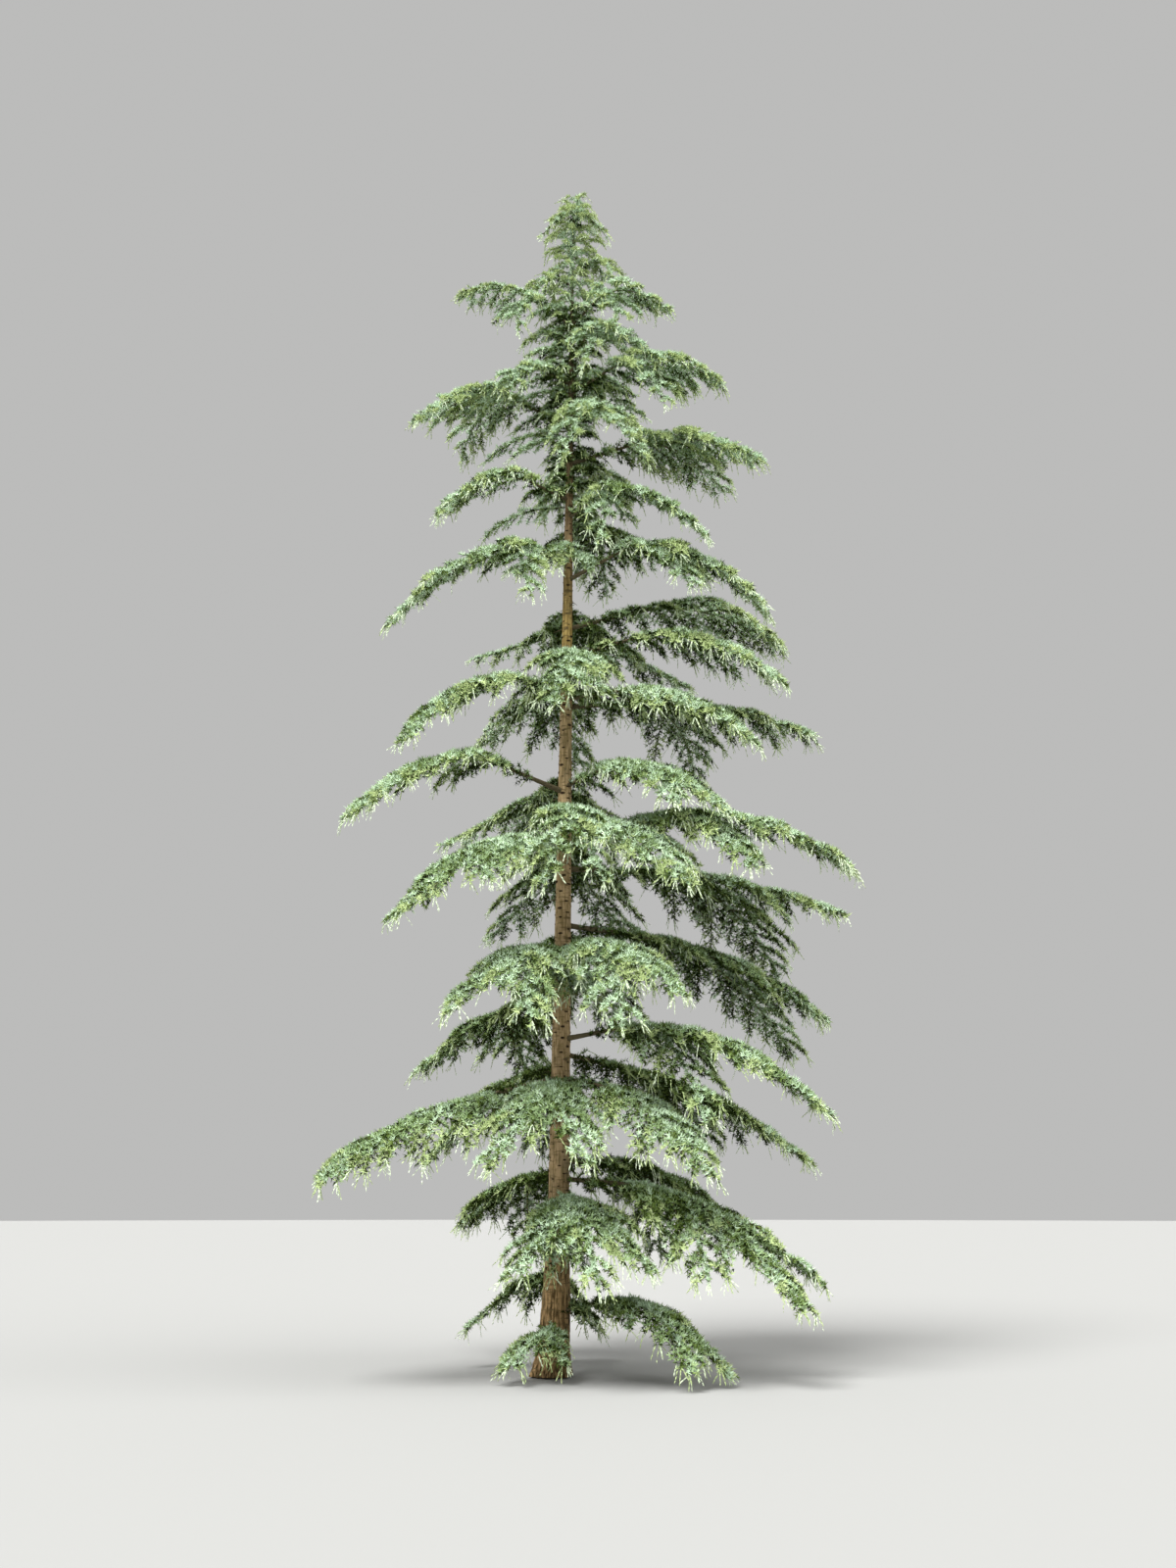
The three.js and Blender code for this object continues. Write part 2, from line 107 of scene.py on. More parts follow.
# Boughs and leads
FORK_SHARE = 0.3
SHOULDER_SHARE = 0.5
BOUGH_BASE_RADIUS = 0.009
BOUGH_RADIUS_PER_REACH = 0.006
BOUGH_TO_TRUNK = 0.7
FORK_RADIUS_SHARE = 0.72
LEAD_TIP_RADIUS = 0.0024
SIDE_LEAD_SHARE = 0.65
BOUGH_SIDES = 7
BOUGH_COLLAR = 1.25
BOUGH_BENDS = 6
LEAD_BENDS = 14
LIMB_SIDES = 8
LIMB_RINGS = 14
LIMB_COLLAR = 1.3
LIMB_OVERLAP = 0.01
LIMB_ROUNDING = 2

# Side shoots
DRAW_FACTOR = 16807
DRAW_MODULUS = 2147483647
SKIPPED_DRAWS = 4
FIRST_SEED = 1000
SEED_STEP = 97
SHOOT_PITCH = 0.085
FEWEST_SHOOTS = 6
INNER_SHOOT_PITCH = 0.13
INNER_START = 0.35
LAST_SHOOT_AT = 0.97
SIDE_SHARE = 0.26
SIDE_LENGTH_MORE = 0.13
INNER_SIDE_SHARE = 0.16
SHOOT_LENGTH_SPREAD = 0.4
WIDEST_AT = 0.3
WIDTH_AT_FORK = 0.55
WIDTH_AT_TIP = 0.16
SHOOT_ANGLE = 58
SHOOT_ANGLE_FALL = 22
SHOOT_ANGLE_SPREAD = 20
DROOP = 0.22
DROOP_SPREAD = 0.25
SLOPE_FOLLOWED = 0.5

# The main ones among a lead's side shoots, kept at an even pitch, and all that grow near its tip.
KEPT_PITCH = 0.56
KEPT_MORE = 1
TERMINAL_START = 0.76

# Kinds of shoot: how much painted light and shade their needles get and how young they are, their size, how
# much of its reach the shoot keeps, its finer twigs' pitch, share of its length, what is added to that, and
# their angle, how many of them end in a young shoot, and how many young shoots hang from the tip.
Kind = namedtuple("Kind", "glow youth needle reach pitch share more angle fringe tips")
FULL_SHOOT = Kind(0.04, 0.03, 1.0, 1.0, 0.028, 0.22, 0.06, 62, 0.4, 4)
FRONT_SHOOT = Kind(-0.07, -0.1, 1.0, 0.76, 0.032, 0.23, 0.06, 62, 0.12, 1)
SLIGHT_SHOOT = Kind(-0.05, -0.1, 1.0, 0.78, 0.04, 0.2, 0.05, 62, 0.15, 1)
TOP_SHOOT = Kind(0.3, 0.06, 0.88, 1.0, 0.031, 0.32, 0.05, 42, 0.25, 2)
SPIRE_SHOOT = Kind(0.66, 0.42, 0.76, 1.0, 0.036, 0.34, 0.03, 26, 0.1, 2)
FIRST_SPIRE_BOUGH = 15
FRONT_HEADING = -0.78
# Painted light by where a fan starts: fans of leads at the front start lighter than those further back, and
# the trunk's own hanging shoots are painted lit.
FRONT_OUTER = 0.6
BACK_OUTER = 0.2
TRUNK_SHOOT_OUTER = 0.95

# Finer twigs. Pairs are the least and the most that a draw may give.
TWIG_SEED = 4200
SHOOT_ARCH = 0.24
SHOOT_SHOULDER = 0.62
SHOOT_BENDS = 5
SHOOT_RADII = (0.0055, 0.002)
SHOOT_CHECKED_AT = np.array([0.45, 0.75, 1.0])
FEWEST_TWIGS = 4
MOST_TWIGS = 18
TWIG_SIZES = (0.8, 1.15)
TWIG_ANGLE_FALL = 0.42
TWIG_ANGLES = (-10, 10)
TWIG_SAG = (0.05, 0.4)
TWIG_SIDES = 3
TWIG_RADII = (0.0028, 0.0012)
TWIG_TURN = 2.4
INNER_TWIG_PITCH = 0.022
INNER_TWIG_REACH = (0.07, 0.15)
INNER_TWIGS_FROM = 0.16
LIMB_TWIGS_FROM = 0.5
LEAD_TWIG_PITCH = 0.04
LEAD_TWIG_REACH = (0.04, 0.09)
LEAD_TIPS = 4
TRUNK_CLEARANCE = 0.01
WOOD_CLEARANCE = 0.03
GROUND_CLEARANCE = 0.03
BOX_MARGIN = 0.07
FLOOR_GAP = 0.004

# Needles
ROSETTE_PITCH = 0.02
ROSETTE_NEEDLES = 5
ROSETTE_OPENING = (25, 75)
ROSETTE_TURN = (-0.4, 0.4)
LEAD_ROSETTE_CROWDING = 1.6
NEEDLE_LENGTH = 0.05
NEEDLE_LENGTHS = (0.75, 1.15)
NEEDLE_WIDTH = 0.0131
NEEDLE_ROLL = (-0.5, 0.5)
FINGER_NEEDLES = 11
FINGER_NEEDLE_LENGTH = 0.034
FINGER_NEEDLE_LENGTHS = (0.85, 1.15)
FINGER_NEEDLE_WIDTH = 0.0098
FINGER_BEND = 0.35
FINGER_SAG = 0.12
FINGER_SPREAD = 22
FINGER_SPREAD_FALL = 10
TWIG_FINGER_REACH = (0.07, 0.12)
TIP_FINGER_REACH = (0.09, 0.14)
TIP_FINGER_SPREAD = 0.52
LEAD_FINGER_REACH = (0.07, 0.11)
SPUR_LEAN = 0.6
SPUR_LIFT = 0.35

# Painted light and shade on the needles: a light value from 0 deep inside to about 1 outside picks each
# needle's tint, darker in painted shade and paler in painted light; each tint's limit, and what adds to it.
DARK_BELOW = 0.2
MID_BELOW = 0.4
PALE_BELOW = 0.66
YOUNG_ABOVE = 0.5
UPPER_SIDE_GLOW = 0.42
SHOOT_LIGHT = 0.17
SHOOT_OUTER_GLOW = 0.22
SHOOT_BACK_GLOW = 0.22
SHOOT_LIGHTS = (-0.16, 0.16)
TWIG_LIGHTS = (-0.05, 0.05)
LEAD_LIGHT = 0.6
LEAD_TWIG_LIGHT = 0.52
INNER_TWIG_LIGHT = 0.35
LEADER_LIGHT = 0.55
YOUNG_TIPS_LOST_PER_GLOW = 2.5

# Youth of the needles, from about -0.5 to 1: what a shoot's draw adds, and how it grows to the tip.
SHOOT_YOUTHS = (-0.45, 0.1)
YOUTH_TO_TIP = 0.7
TWIG_YOUTHS = (-0.1, 0.1)
ROSETTE_YOUTHS = (-0.06, 0.06)

# Roughness and specular level
NEEDLE_FINISH = (0.75, 0.03)
BARK_FINISH = (0.85, 0.2)
SCAR_FINISH = (0.9, 0.1)
FLOOR_FINISH = (0.9, 0.1)

# Each tint's lighter and darker tone. The dark, mid and pale tints and the palest one are the needles'
# colour painted in deeper shade and in brighter light, the palest a painted highlight; young and tip are
# the colours of young shoots.
NEEDLE_COLOURS = {
    "dark": ((0.032, 0.052, 0.008), (0.012, 0.024, 0.003)),
    "mid": ((0.17, 0.245, 0.065), (0.085, 0.13, 0.026)),
    "pale": ((0.38, 0.51, 0.26), (0.22, 0.32, 0.145)),
    # The palest tint: a painted highlight on the needles that face the light.
    "frost": ((0.63, 0.79, 0.565), (0.41, 0.54, 0.37)),
    "young": ((0.51, 0.61, 0.30), (0.33, 0.42, 0.18)),
    "tip": ((0.74, 0.83, 0.62), (0.58, 0.68, 0.47)),
}

# The trunk's tones by share of its height: the ridges of its bark, and the grooves between them, the bark's
# own darker colour with painted shade in the fissures. From about two thirds of the height both turn dark,
# painted shade inside the crown.
RIDGE_COLOURS = [
    (0.0, (0.4, 0.26, 0.12)), (0.07, (0.42, 0.275, 0.125)), (0.16, (0.47, 0.335, 0.185)),
    (0.5, (0.5, 0.36, 0.195)), (0.58, (0.54, 0.39, 0.135)), (0.66, (0.3, 0.2, 0.1)),
    (0.76, (0.12, 0.09, 0.045)),
]
GROOVE_COLOURS = [
    (0.0, (0.06, 0.036, 0.01)), (0.07, (0.075, 0.048, 0.015)), (0.16, (0.24, 0.17, 0.075)),
    (0.5, (0.28, 0.2, 0.09)), (0.58, (0.28, 0.19, 0.055)), (0.66, (0.12, 0.08, 0.035)),
    (0.76, (0.05, 0.04, 0.02)),
]

# Camera and light
CAMERA_PLACE = (0.34, -15.4, 1.54)
CAMERA_PITCH = 14.8
LENS_LENGTH = 36.4
SENSOR_HEIGHT = 36
LIGHT_AIM = (0, 0, 3)
FLOOR_RADIUS = 140

UP = np.array([0.0, 0.0, 1.0])

# Each row: name, height, lift in degrees, whether its limb shows bare wood, and its leads as
# heading in degrees, reach and fall.
BOUGHS = [
    ("01_front_left", 0.43, 0, False, [(-116, 0.9, 0.28), (-80, 0.7, 0.26)]),
    ("01_right", 0.56, 12, False, [(-46, 1.75, 0.39), (-30, 1.75, 0.46)]),
    ("01_back", 0.84, 5, False, [(138, 1.2, 0.48), (75, 1.5, 0.56)]),
    ("02_front", 1.52, 6, False, [(-104, 1.6, 0.59), (-78, 1.75, 0.68), (-60, 1.65, 0.57)]),
    ("02_right", 1.76, -4, False, [(-50, 2.0, 0.86), (-31, 2.45, 1.11), (-10, 2.35, 0.9)]),
    ("02_back_right", 1.92, 2, False, [(30, 2.35, 1.02), (62, 2.2, 0.95)]),
    ("02_back_left", 1.8, 0, False, [(98, 2.0, 0.85), (123, 1.9, 0.5)]),
    ("03_left", 2.7, -13, True, [(-142, 2.55, 0.96)]),
    ("03_front", 2.64, -4, False, [(-109, 1.8, 0.82), (-82, 1.8, 0.78)]),
    ("03_front_right", 2.7, -10, False, [(-53, 2.1, 0.94)]),
    ("03_back_right", 2.93, -8, False, [(20, 2.6, 0.99), (50, 2.3, 0.8)]),
    ("03_back", 2.8, 0, False, [(90, 2.3, 0.9), (132, 2.1, 0.85)]),
    ("04_right", 3.06, 6, True, [(-23, 2.6, 0.76), (-48, 1.9, 0.85)]),
    ("04_back_left", 3.56, -4, False, [(134, 2.2, 0.68), (100, 2.2, 0.72)]),
    ("05_front_left", 3.86, 0, False, [(-120, 1.9, 0.74), (-97, 1.85, 0.82)]),
    ("05_front_right", 3.85, 4, False, [(-74, 1.95, 0.87), (-58, 2.0, 0.58)]),
    ("05_right", 4.18, -4, False, [(15, 2.7, 0.85), (31, 2.8, 1.15)]),
    ("05_back", 4.1, 2, False, [(70, 2.5, 0.95), (105, 2.3, 0.85)]),
    ("06_left", 5.0, -6, False, [(-129, 2.3, 1.08), (-112, 1.85, 0.7)]),
    ("06_front", 5.08, 12, False, [(-95, 1.7, 0.85), (-76, 1.55, 0.77)]),
    ("06_front_right", 5.12, -4, False, [(-58, 2.1, 0.9)]),
    ("06_right", 4.95, 12, True, [(-41, 2.3, 0.51), (-22, 2.85, 0.42)]),
    ("06_back_right", 4.74, 2, False, [(7, 2.8, 0.38), (34, 2.75, 0.88)]),
    ("06_back", 5.06, 4, False, [(70, 2.4, 0.8), (112, 2.25, 0.7)]),
    ("07_left", 5.52, 12, True, [(-144, 2.4, 0.6)]),
    ("07_front_right", 5.58, 6, False, [(-57, 1.9, 0.56), (-42, 2.0, 0.59)]),
    ("07_back", 5.7, 4, False, [(60, 2.2, 0.6), (95, 2.1, 0.6), (133, 2.0, 0.4)]),
    ("08_left", 6.62, -2, False, [(-142, 1.9, 0.9)]),
    ("08_front", 6.86, -4, False, [(-95, 1.5, 0.9), (-74, 1.35, 0.72)]),
    ("08_front_right", 6.5, -2, False, [(-34, 2.1, 0.78)]),
    ("08_right", 6.42, 10, False, [(10, 2.6, 0.15), (46, 2.0, 0.33)]),
    ("08_back", 6.8, 4, False, [(85, 1.9, 0.5), (122, 1.8, 0.35)]),
    ("09_right", 6.95, 8, False, [(-23, 2.25, 0.55)]),
    ("09_back_right", 7.26, 17, False, [(7, 2.25, 0.12)]),
    ("09_back", 7.5, 6, False, [(45, 1.9, 0.45), (90, 1.8, 0.45), (135, 1.5, 0.2)]),
    ("10_left", 7.96, 1, False, [(-147, 2.0, 1.05), (-105, 1.25, 0.82)]),
    ("10_right", 7.8, 14, True, [(-46, 1.7, 0.55), (-25, 2.15, 0.73)]),
    ("11_left", 8.7, 10, False, [(-146, 1.55, 0.59)]),
    ("11_front_right", 8.5, 8, False, [(-76, 1.2, 0.8), (-41, 1.8, 0.76)]),
    ("11_back", 8.6, 10, False, [(30, 1.7, 0.35), (75, 1.6, 0.35), (120, 1.4, 0.2)]),
    ("12_right", 9.12, 15, False, [(-23, 2.1, 0.36), (12, 1.7, 0.16)]),
    ("12_front", 9.45, 8, False, [(-56, 1.4, 0.9), (-95, 1.15, 0.9)]),
    ("12_left", 9.56, 28, False, [(-157, 1.7, 0.3), (150, 1.4, 0.06)]),
    ("12_back", 9.3, 12, False, [(60, 1.4, 0.3), (105, 1.35, 0.25)]),
    ("13_right", 9.94, 16, False, [(-24, 1.7, 0.26), (-45, 1.35, 0.63)]),
    ("13_left", 10.05, 12, False, [(-130, 0.95, 0.5), (-165, 1.0, 0.45)]),
    ("13_back", 10.3, 16, False, [(45, 1.15, 0.2), (105, 1.05, 0.2)]),
    ("13_upper_right", 10.38, 18, False, [(-38, 1.15, 0.56), (-82, 0.85, 0.62)]),
    ("14_left", 10.76, 34, False, [(167, 1.25, -0.52), (-134, 0.8, 0.4)]),
    ("14_right", 10.76, 22, False, [(-30, 1.2, 0.21), (-62, 1.0, 0.56)]),
    ("14_back", 10.9, 26, False, [(40, 0.85, 0.18), (110, 0.8, 0.2)]),
    ("15_left", 11.25, 32, False, [(-140, 0.48, 0.26), (130, 0.48, 0.16)]),
    ("15_right", 11.42, 34, False, [(-35, 0.52, 0.26), (45, 0.48, 0.12)]),
    ("16_leader", 11.9, 40, False, [(-28, 0.42, 0.18), (-150, 0.38, 0.13)]),
]

# Each storey of the crown is one set of pieces: its name and the first number of its boughs.
STOREYS = [("lowest", 1), ("low", 3), ("middle", 5), ("upper_middle", 7), ("upper", 9), ("top", 12)]

# Painted shade: the lower storeys stand more in shade, so their needles are painted darker and fewer of
# them are the palest.
STOREY_GLOW = {
    "lowest": -0.11, "low": -0.1, "middle": -0.02, "upper_middle": 0.01, "upper": 0.03, "top": -0.03,
}

# Short shoots straight from the trunk fill the top: height, length, and how far each tip rises.
TOP_SHOOT_PITCH = 0.028
SPIRE_SHOOT_PITCH = 0.02
LEADER_ROSETTE_PITCH = 0.006
SPIRE_FOOT = 11.0
TURN_ROUND_TRUNK = 137.5
TOP_SHOOTS = [
    (8.7, 0.24, -0.1), (10.5, 0.32, -0.05), (11.1, 0.26, -0.1), (11.5, 0.24, -0.15), (11.75, 0.28, -0.2),
    (11.98, 0.34, -0.25), (12.15, 0.26, -0.2), (12.3, 0.12, 0.1), (12.38, 0.05, 0.8),
]
# Painted light over the top by height: its lower shoots are painted in shade, the spire in light.
TOP_OUTER = ([9.0, 10.8, 11.6], [-1.8, -0.9, 1.2])

# Hanging shoots straight from the trunk: storey, height, heading, length and how far the tip rises.
TRUNK_SHOOTS = [
    ("lowest", 1.38, -116, 0.6, -0.72), ("lowest", 1.42, -93, 0.64, -0.78),
    ("lowest", 1.36, -68, 0.6, -0.76), ("lowest", 1.3, -100, 0.48, -0.5), ("lowest", 1.28, -78, 0.48, -0.5),
    ("middle", 3.86, -112, 0.66, -0.72), ("middle", 3.86, -90, 0.68, -0.72),
    ("middle", 3.82, -68, 0.64, -0.74), ("middle", 3.74, -100, 0.5, -0.6), ("middle", 3.72, -80, 0.5, -0.6),
    ("upper_middle", 6.8, -112, 0.56, -0.85), ("upper_middle", 6.84, -88, 0.58, -0.9),
    ("upper", 8.16, -128, 0.54, -0.85), ("upper", 8.2, -98, 0.56, -0.9), ("upper", 8.12, -66, 0.5, -0.85),
    ("upper", 9.7, 176, 0.56, -0.3), ("upper", 9.95, -158, 0.52, -0.4), ("upper", 10.2, 170, 0.54, -0.3),
    ("upper", 10.45, -150, 0.5, -0.4), ("upper", 10.7, -176, 0.5, -0.35),
    ("upper", 10.95, -155, 0.46, -0.4), ("upper", 10.1, -12, 0.5, -0.4), ("upper", 10.75, -20, 0.46, -0.4),
    ("upper", 9.5, -178, 0.86, -0.42), ("upper", 9.4, -160, 0.6, -0.5), ("upper", 8.62, 178, 0.84, -0.38),
]

# Where twigs are set: their storey and bough, all wood to keep clear of, and the seeded draws.
Spot = namedtuple("Spot", "storey bough wood chance")


def seeded_draws(seed):
    """The row of numbers between 0 and 1 that the part's source draws from."""
    state = seed
    for _ in range(SKIPPED_DRAWS):
        state = state * DRAW_FACTOR % DRAW_MODULUS
    while True:
        state = state * DRAW_FACTOR % DRAW_MODULUS
        yield state / DRAW_MODULUS


def nearest(number):
    """The nearest whole number, with halves rounded up as the part's source does."""
    return math.floor(number + 0.5)


def flat_way(angle):
    return np.array([math.cos(angle), math.sin(angle), 0.0])


def flat_heading(degrees):
    """A level direction by its heading: 0 is the tree's right, -90 its front."""
    return flat_way(math.radians(degrees))


def turned(ahead, angle):
    """The level direction at an angle to the left of the way ahead."""
    return unit(np.array([
        ahead[0] * math.cos(angle) - ahead[1] * math.sin(angle),
        ahead[0] * math.sin(angle) + ahead[1] * math.cos(angle),
        0.0,
    ]))


def unit(vector):
    return vector / np.linalg.norm(vector)


def units(vectors):
    """Each row of a table of directions, made one long."""
    return vectors / np.linalg.norm(vectors, axis=-1, keepdims=True)


def mix(first, second, share):
    return first + (second - first) * share


def trunk_axis(height):
    """The middle of the trunk at a height: swept at the foot, leaning, nodding at the leader."""
    sweep = FOOT_SWEEP * (1 - math.exp(-height / FOOT_SWEEP_HEIGHT))
    lean = TRUNK_LEAN * height / TREE_HEIGHT
    above = max(0.0, height - TREE_HEIGHT + LEADER_LENGTH) / LEADER_LENGTH
    return np.array([sweep + lean + LEADER_NOD * above * above, 0.0, height])


def trunk_radius(height):
    taper = max(0.0, 1 - height / TREE_HEIGHT) ** TRUNK_TAPER
    flare = FLARE_RADIUS * math.exp(-height / FLARE_HEIGHT)
    return max(TRUNK_TIP_RADIUS, TRUNK_RADIUS * taper + flare)


def on_trunk(height, outward):
    """The point of the trunk's surface at a height and on a given side."""
    return trunk_axis(height) + outward * trunk_radius(height)


def arc_point(arc, along):
    """A point on a quadratic curve given by its start, shoulder and end."""
    start, shoulder, end = arc
    share = np.asarray(along, float)[..., None]
    return (1 - share) ** 2 * start + 2 * share * (1 - share) * shoulder + share**2 * end


def arc_heading(arc, along):
    start, shoulder, end = arc
    share = np.asarray(along, float)[..., None]
    return units(2 * (1 - share) * (shoulder - start) + 2 * share * (end - shoulder))


def grow_bough(row):
    """A bough by its row: where it starts, how it heads, where it forks, and its leads."""
    name, height, lift, bare, lead_rows = row
    heading = unit(sum(flat_heading(degrees) * reach for degrees, reach, _ in lead_rows))
    heading[2] = math.tan(math.radians(lift))
    mean_reach = sum(reach for _, reach, _ in lead_rows) / len(lead_rows)
    start = trunk_axis(height)
    full = BOUGH_BASE_RADIUS + BOUGH_RADIUS_PER_REACH * mean_reach
    base = min(full, BOUGH_TO_TRUNK * trunk_radius(height))
    bough = {
        "name": name, "storey": storey_of(name), "bare": bare, "heading": heading, "mean_reach": mean_reach,
        "start": start, "fork": start + heading * FORK_SHARE * mean_reach,
        "base_radius": base, "fork_radius": FORK_RADIUS_SHARE * base,
    }
    bough["leads"] = [grow_lead(bough, *lead_row) for lead_row in lead_rows]
    return bough


def grow_lead(bough, degrees, reach, fall):
    """One lead: on from the fork the way the bough heads, arched over and down to its tip."""
    tip = bough["start"] + flat_heading(degrees) * reach - UP * fall
    run = math.hypot(*(tip - bough["fork"])[:2])
    shoulder = bough["fork"] + bough["heading"] * SHOULDER_SHARE * run
    at_front = math.sin(math.radians(degrees)) < FRONT_HEADING
    return {"arc": (bough["fork"], shoulder, tip), "run": run, "reach": reach, "at_front": at_front}


def fan_width(along):
    """How wide a lead's fan is for its widest, from the fork to the tip."""
    if along < WIDEST_AT:
        return WIDTH_AT_FORK + (1 - WIDTH_AT_FORK) * along / WIDEST_AT
    return 1 - (1 - WIDTH_AT_TIP) * (along - WIDEST_AT) / (1 - WIDEST_AT)


def side_shoot(root, ahead, k, length, along, draws):
    """A side shoot's root and tip, from three draws, on the left and right of its lead by turns."""
    size = length * (1 - SHOOT_LENGTH_SPREAD / 2 + SHOOT_LENGTH_SPREAD * next(draws))
    turn = SHOOT_ANGLE - SHOOT_ANGLE_FALL * along + SHOOT_ANGLE_SPREAD * (next(draws) - 0.5)
    droop = DROOP + DROOP_SPREAD * next(draws)
    side = 1 if k % 2 == 0 else -1
    flat = flat_way(math.atan2(ahead[1], ahead[0]) + side * math.radians(turn))
    return root, root + flat * size + UP * size * (SLOPE_FOLLOWED * ahead[2] - droop)


def shoots_of_lead(lead, draws):
    """Every side shoot of a lead: its root, its tip and how far along the lead it grows."""
    count = max(FEWEST_SHOOTS, nearest(lead["run"] / SHOOT_PITCH))
    shoots = []
    for k in range(count):
        along = LAST_SHOOT_AT * (k + 0.5) / count
        root = arc_point(lead["arc"], along)
        ahead = arc_heading(lead["arc"], along)
        length = (SIDE_SHARE * lead["reach"] + SIDE_LENGTH_MORE) * fan_width(along)
        shoots.append((*side_shoot(root, ahead, k, length, along, draws), along))
    return shoots


def inner_shoots(bough, draws):
    """The roots and tips of the side shoots between the trunk and the fork."""
    stretch = bough["fork"] - bough["start"]
    ahead = unit(stretch)
    reach = INNER_SIDE_SHARE * bough["mean_reach"]
    count = nearest((1 - INNER_START) * np.linalg.norm(stretch) / INNER_SHOOT_PITCH)
    shoots = []
    for k in range(count):
        along = INNER_START + (1 - INNER_START) * k / count
        shoots.append(side_shoot(bough["start"] + stretch * along, ahead, k, reach, 0, draws))
    return shoots


def storey_of(name):
    number = int(name[:2])
    return [storey for storey, first in STOREYS if first <= number][-1]


# Needles and wood are gathered here by storey and tint, then joined into one mesh each.
needle_sets = {}
rod_sets = {}


def add_needles(spot, tint, roots, ways, faces, lengths, width):
    widths = np.full(len(roots), width)
    needle_sets.setdefault((spot.storey, tint), []).append((roots, ways, faces, lengths, widths))


def add_rod(storey, sides, points, radii):
    rod_sets.setdefault((storey, sides, len(points)), []).append((points, radii))


def across_of(ways):
    """Two directions square to each other and to each given direction."""
    other = np.where(np.abs(ways[:, 2:3]) < 0.9, UP, np.array([1.0, 0.0, 0.0]))
    first = units(np.cross(ways, other))
    return first, np.cross(ways, first)


def add_rosettes(spot, places, spurs, light, youth, size):
    """Star-shaped rosettes of needles, each round a short spur, tinted by its painted light and shade and
    by its youth.
    """
    chance = spot.chance
    # Painted light and shade: the lower the light, the darker the tint, and the highest light picks the
    # palest tint, a painted highlight; young needles out of the painted shade keep their own colour.
    limits = [light < DARK_BELOW, light < MID_BELOW, youth > YOUNG_ABOVE, light < PALE_BELOW]
    tints = np.select(limits, ["dark", "mid", "young", "pale"], "frost")
    first, second = across_of(spurs)
    step = 2 * math.pi / ROSETTE_NEEDLES
    turn = chance.uniform(0, 2 * math.pi, (len(places), 1)) + np.arange(ROSETTE_NEEDLES) * step
    turn = turn + chance.uniform(*ROSETTE_TURN, turn.shape)
    open_by = np.radians(chance.uniform(*ROSETTE_OPENING, turn.shape) * size)
    ways = (
        spurs[:, None, :] * np.cos(open_by)[..., None]
        + first[:, None, :] * (np.sin(open_by) * np.cos(turn))[..., None]
        + second[:, None, :] * (np.sin(open_by) * np.sin(turn))[..., None]
    )
    lengths = NEEDLE_LENGTH * size * chance.uniform(*NEEDLE_LENGTHS, turn.shape)
    for tint in NEEDLE_COLOURS:
        chosen = tints == tint
        if chosen.any():
            roots = np.repeat(places[chosen], ROSETTE_NEEDLES, axis=0)
            faces = np.repeat(spurs[chosen], ROSETTE_NEEDLES, axis=0)
            chosen_ways = ways[chosen].reshape(-1, 3)
            add_needles(spot, tint, roots, chosen_ways, faces, lengths[chosen].ravel(), NEEDLE_WIDTH * size)


def add_finger(spot, tint, root, way, length):
    """A hanging young shoot, with short needles pressed along it to its tip."""
    share = (np.arange(FINGER_NEEDLES) + 0.3) / FINGER_NEEDLES
    bend = units(way + np.outer(share, -FINGER_BEND * UP))
    roots = root + way * (share * length)[:, None] - UP * (FINGER_SAG * length * share**2)[:, None]
    first, second = across_of(bend)
    turn = np.arange(FINGER_NEEDLES) * TWIG_TURN + spot.chance.uniform(0, 6.28)
    outward = first * np.cos(turn)[:, None] + second * np.sin(turn)[:, None]
    spread = np.radians(FINGER_SPREAD - FINGER_SPREAD_FALL * share)[:, None]
    ways = bend * np.cos(spread) + outward * np.sin(spread)
    drawn = spot.chance.uniform(*FINGER_NEEDLE_LENGTHS, len(ways))
    lengths = FINGER_NEEDLE_LENGTH * (1 - 0.35 * share) * drawn
    add_needles(spot, tint, roots, ways, outward, lengths, FINGER_NEEDLE_WIDTH)


def dress_stretch(spot, points, headings, light, youth, size=1.0, lift=SPUR_LIFT):
    """Rosettes along a stretch of twig, more of them on its upper side, and those painted paler, as if lit
    from above.
    """
    chance = spot.chance
    first, second = across_of(headings)
    turn = chance.uniform(0, 2 * math.pi, len(points))
    spurs = first * np.cos(turn)[:, None] + second * np.sin(turn)[:, None]
    spurs = units(spurs + UP * lift + headings * SPUR_LEAN)
    # Painted light: spurs that face up get more of it, and the storey adds its painted shade.
    light = light + STOREY_GLOW[spot.storey] + UPPER_SIDE_GLOW * spurs[:, 2]
    light = light + chance.uniform(*TWIG_LIGHTS, len(points))
    youth = youth + chance.uniform(*ROSETTE_YOUTHS, len(points))
    add_rosettes(spot, points, spurs, light, youth, size)


# Every bough's own wood, so that no twig of another bough grows through it.
wood_marks = []

# No twig ends further out than a little beyond the box of the solids.
low_corner = np.array(cad_box[0]) - BOX_MARGIN
high_corner = np.array(cad_box[1]) + BOX_MARGIN


def mark_wood(points, bough):
    for point in points:
        wood_marks.append((point, bough))


def build_wood_tree():
    tree = kdtree.KDTree(len(wood_marks))
    for i, (point, _) in enumerate(wood_marks):
        tree.insert(Vector(point), i)
    tree.balance()
    return tree


def is_clear(spot, points):
    """Whether a twig's points keep clear of the trunk, of the ground and of other boughs."""
    for point in points:
        if point[2] < GROUND_CLEARANCE or (point < low_corner).any() or (point > high_corner).any():
            return False
        height = min(point[2], TREE_HEIGHT)
        axis = trunk_axis(height)
        if math.hypot(point[0] - axis[0], point[1] - axis[1]) < trunk_radius(height) + TRUNK_CLEARANCE:
            return False
        for _, index, _ in spot.wood.find_range(Vector(point), WOOD_CLEARANCE):
            if wood_marks[index][1] != spot.bough:
                return False
    return True


def young_share(spot, share):
    """The share of greener young tips among the pale ones, more of them in the storeys painted as shaded.
    """
    return share - YOUNG_TIPS_LOST_PER_GLOW * STOREY_GLOW[spot.storey]


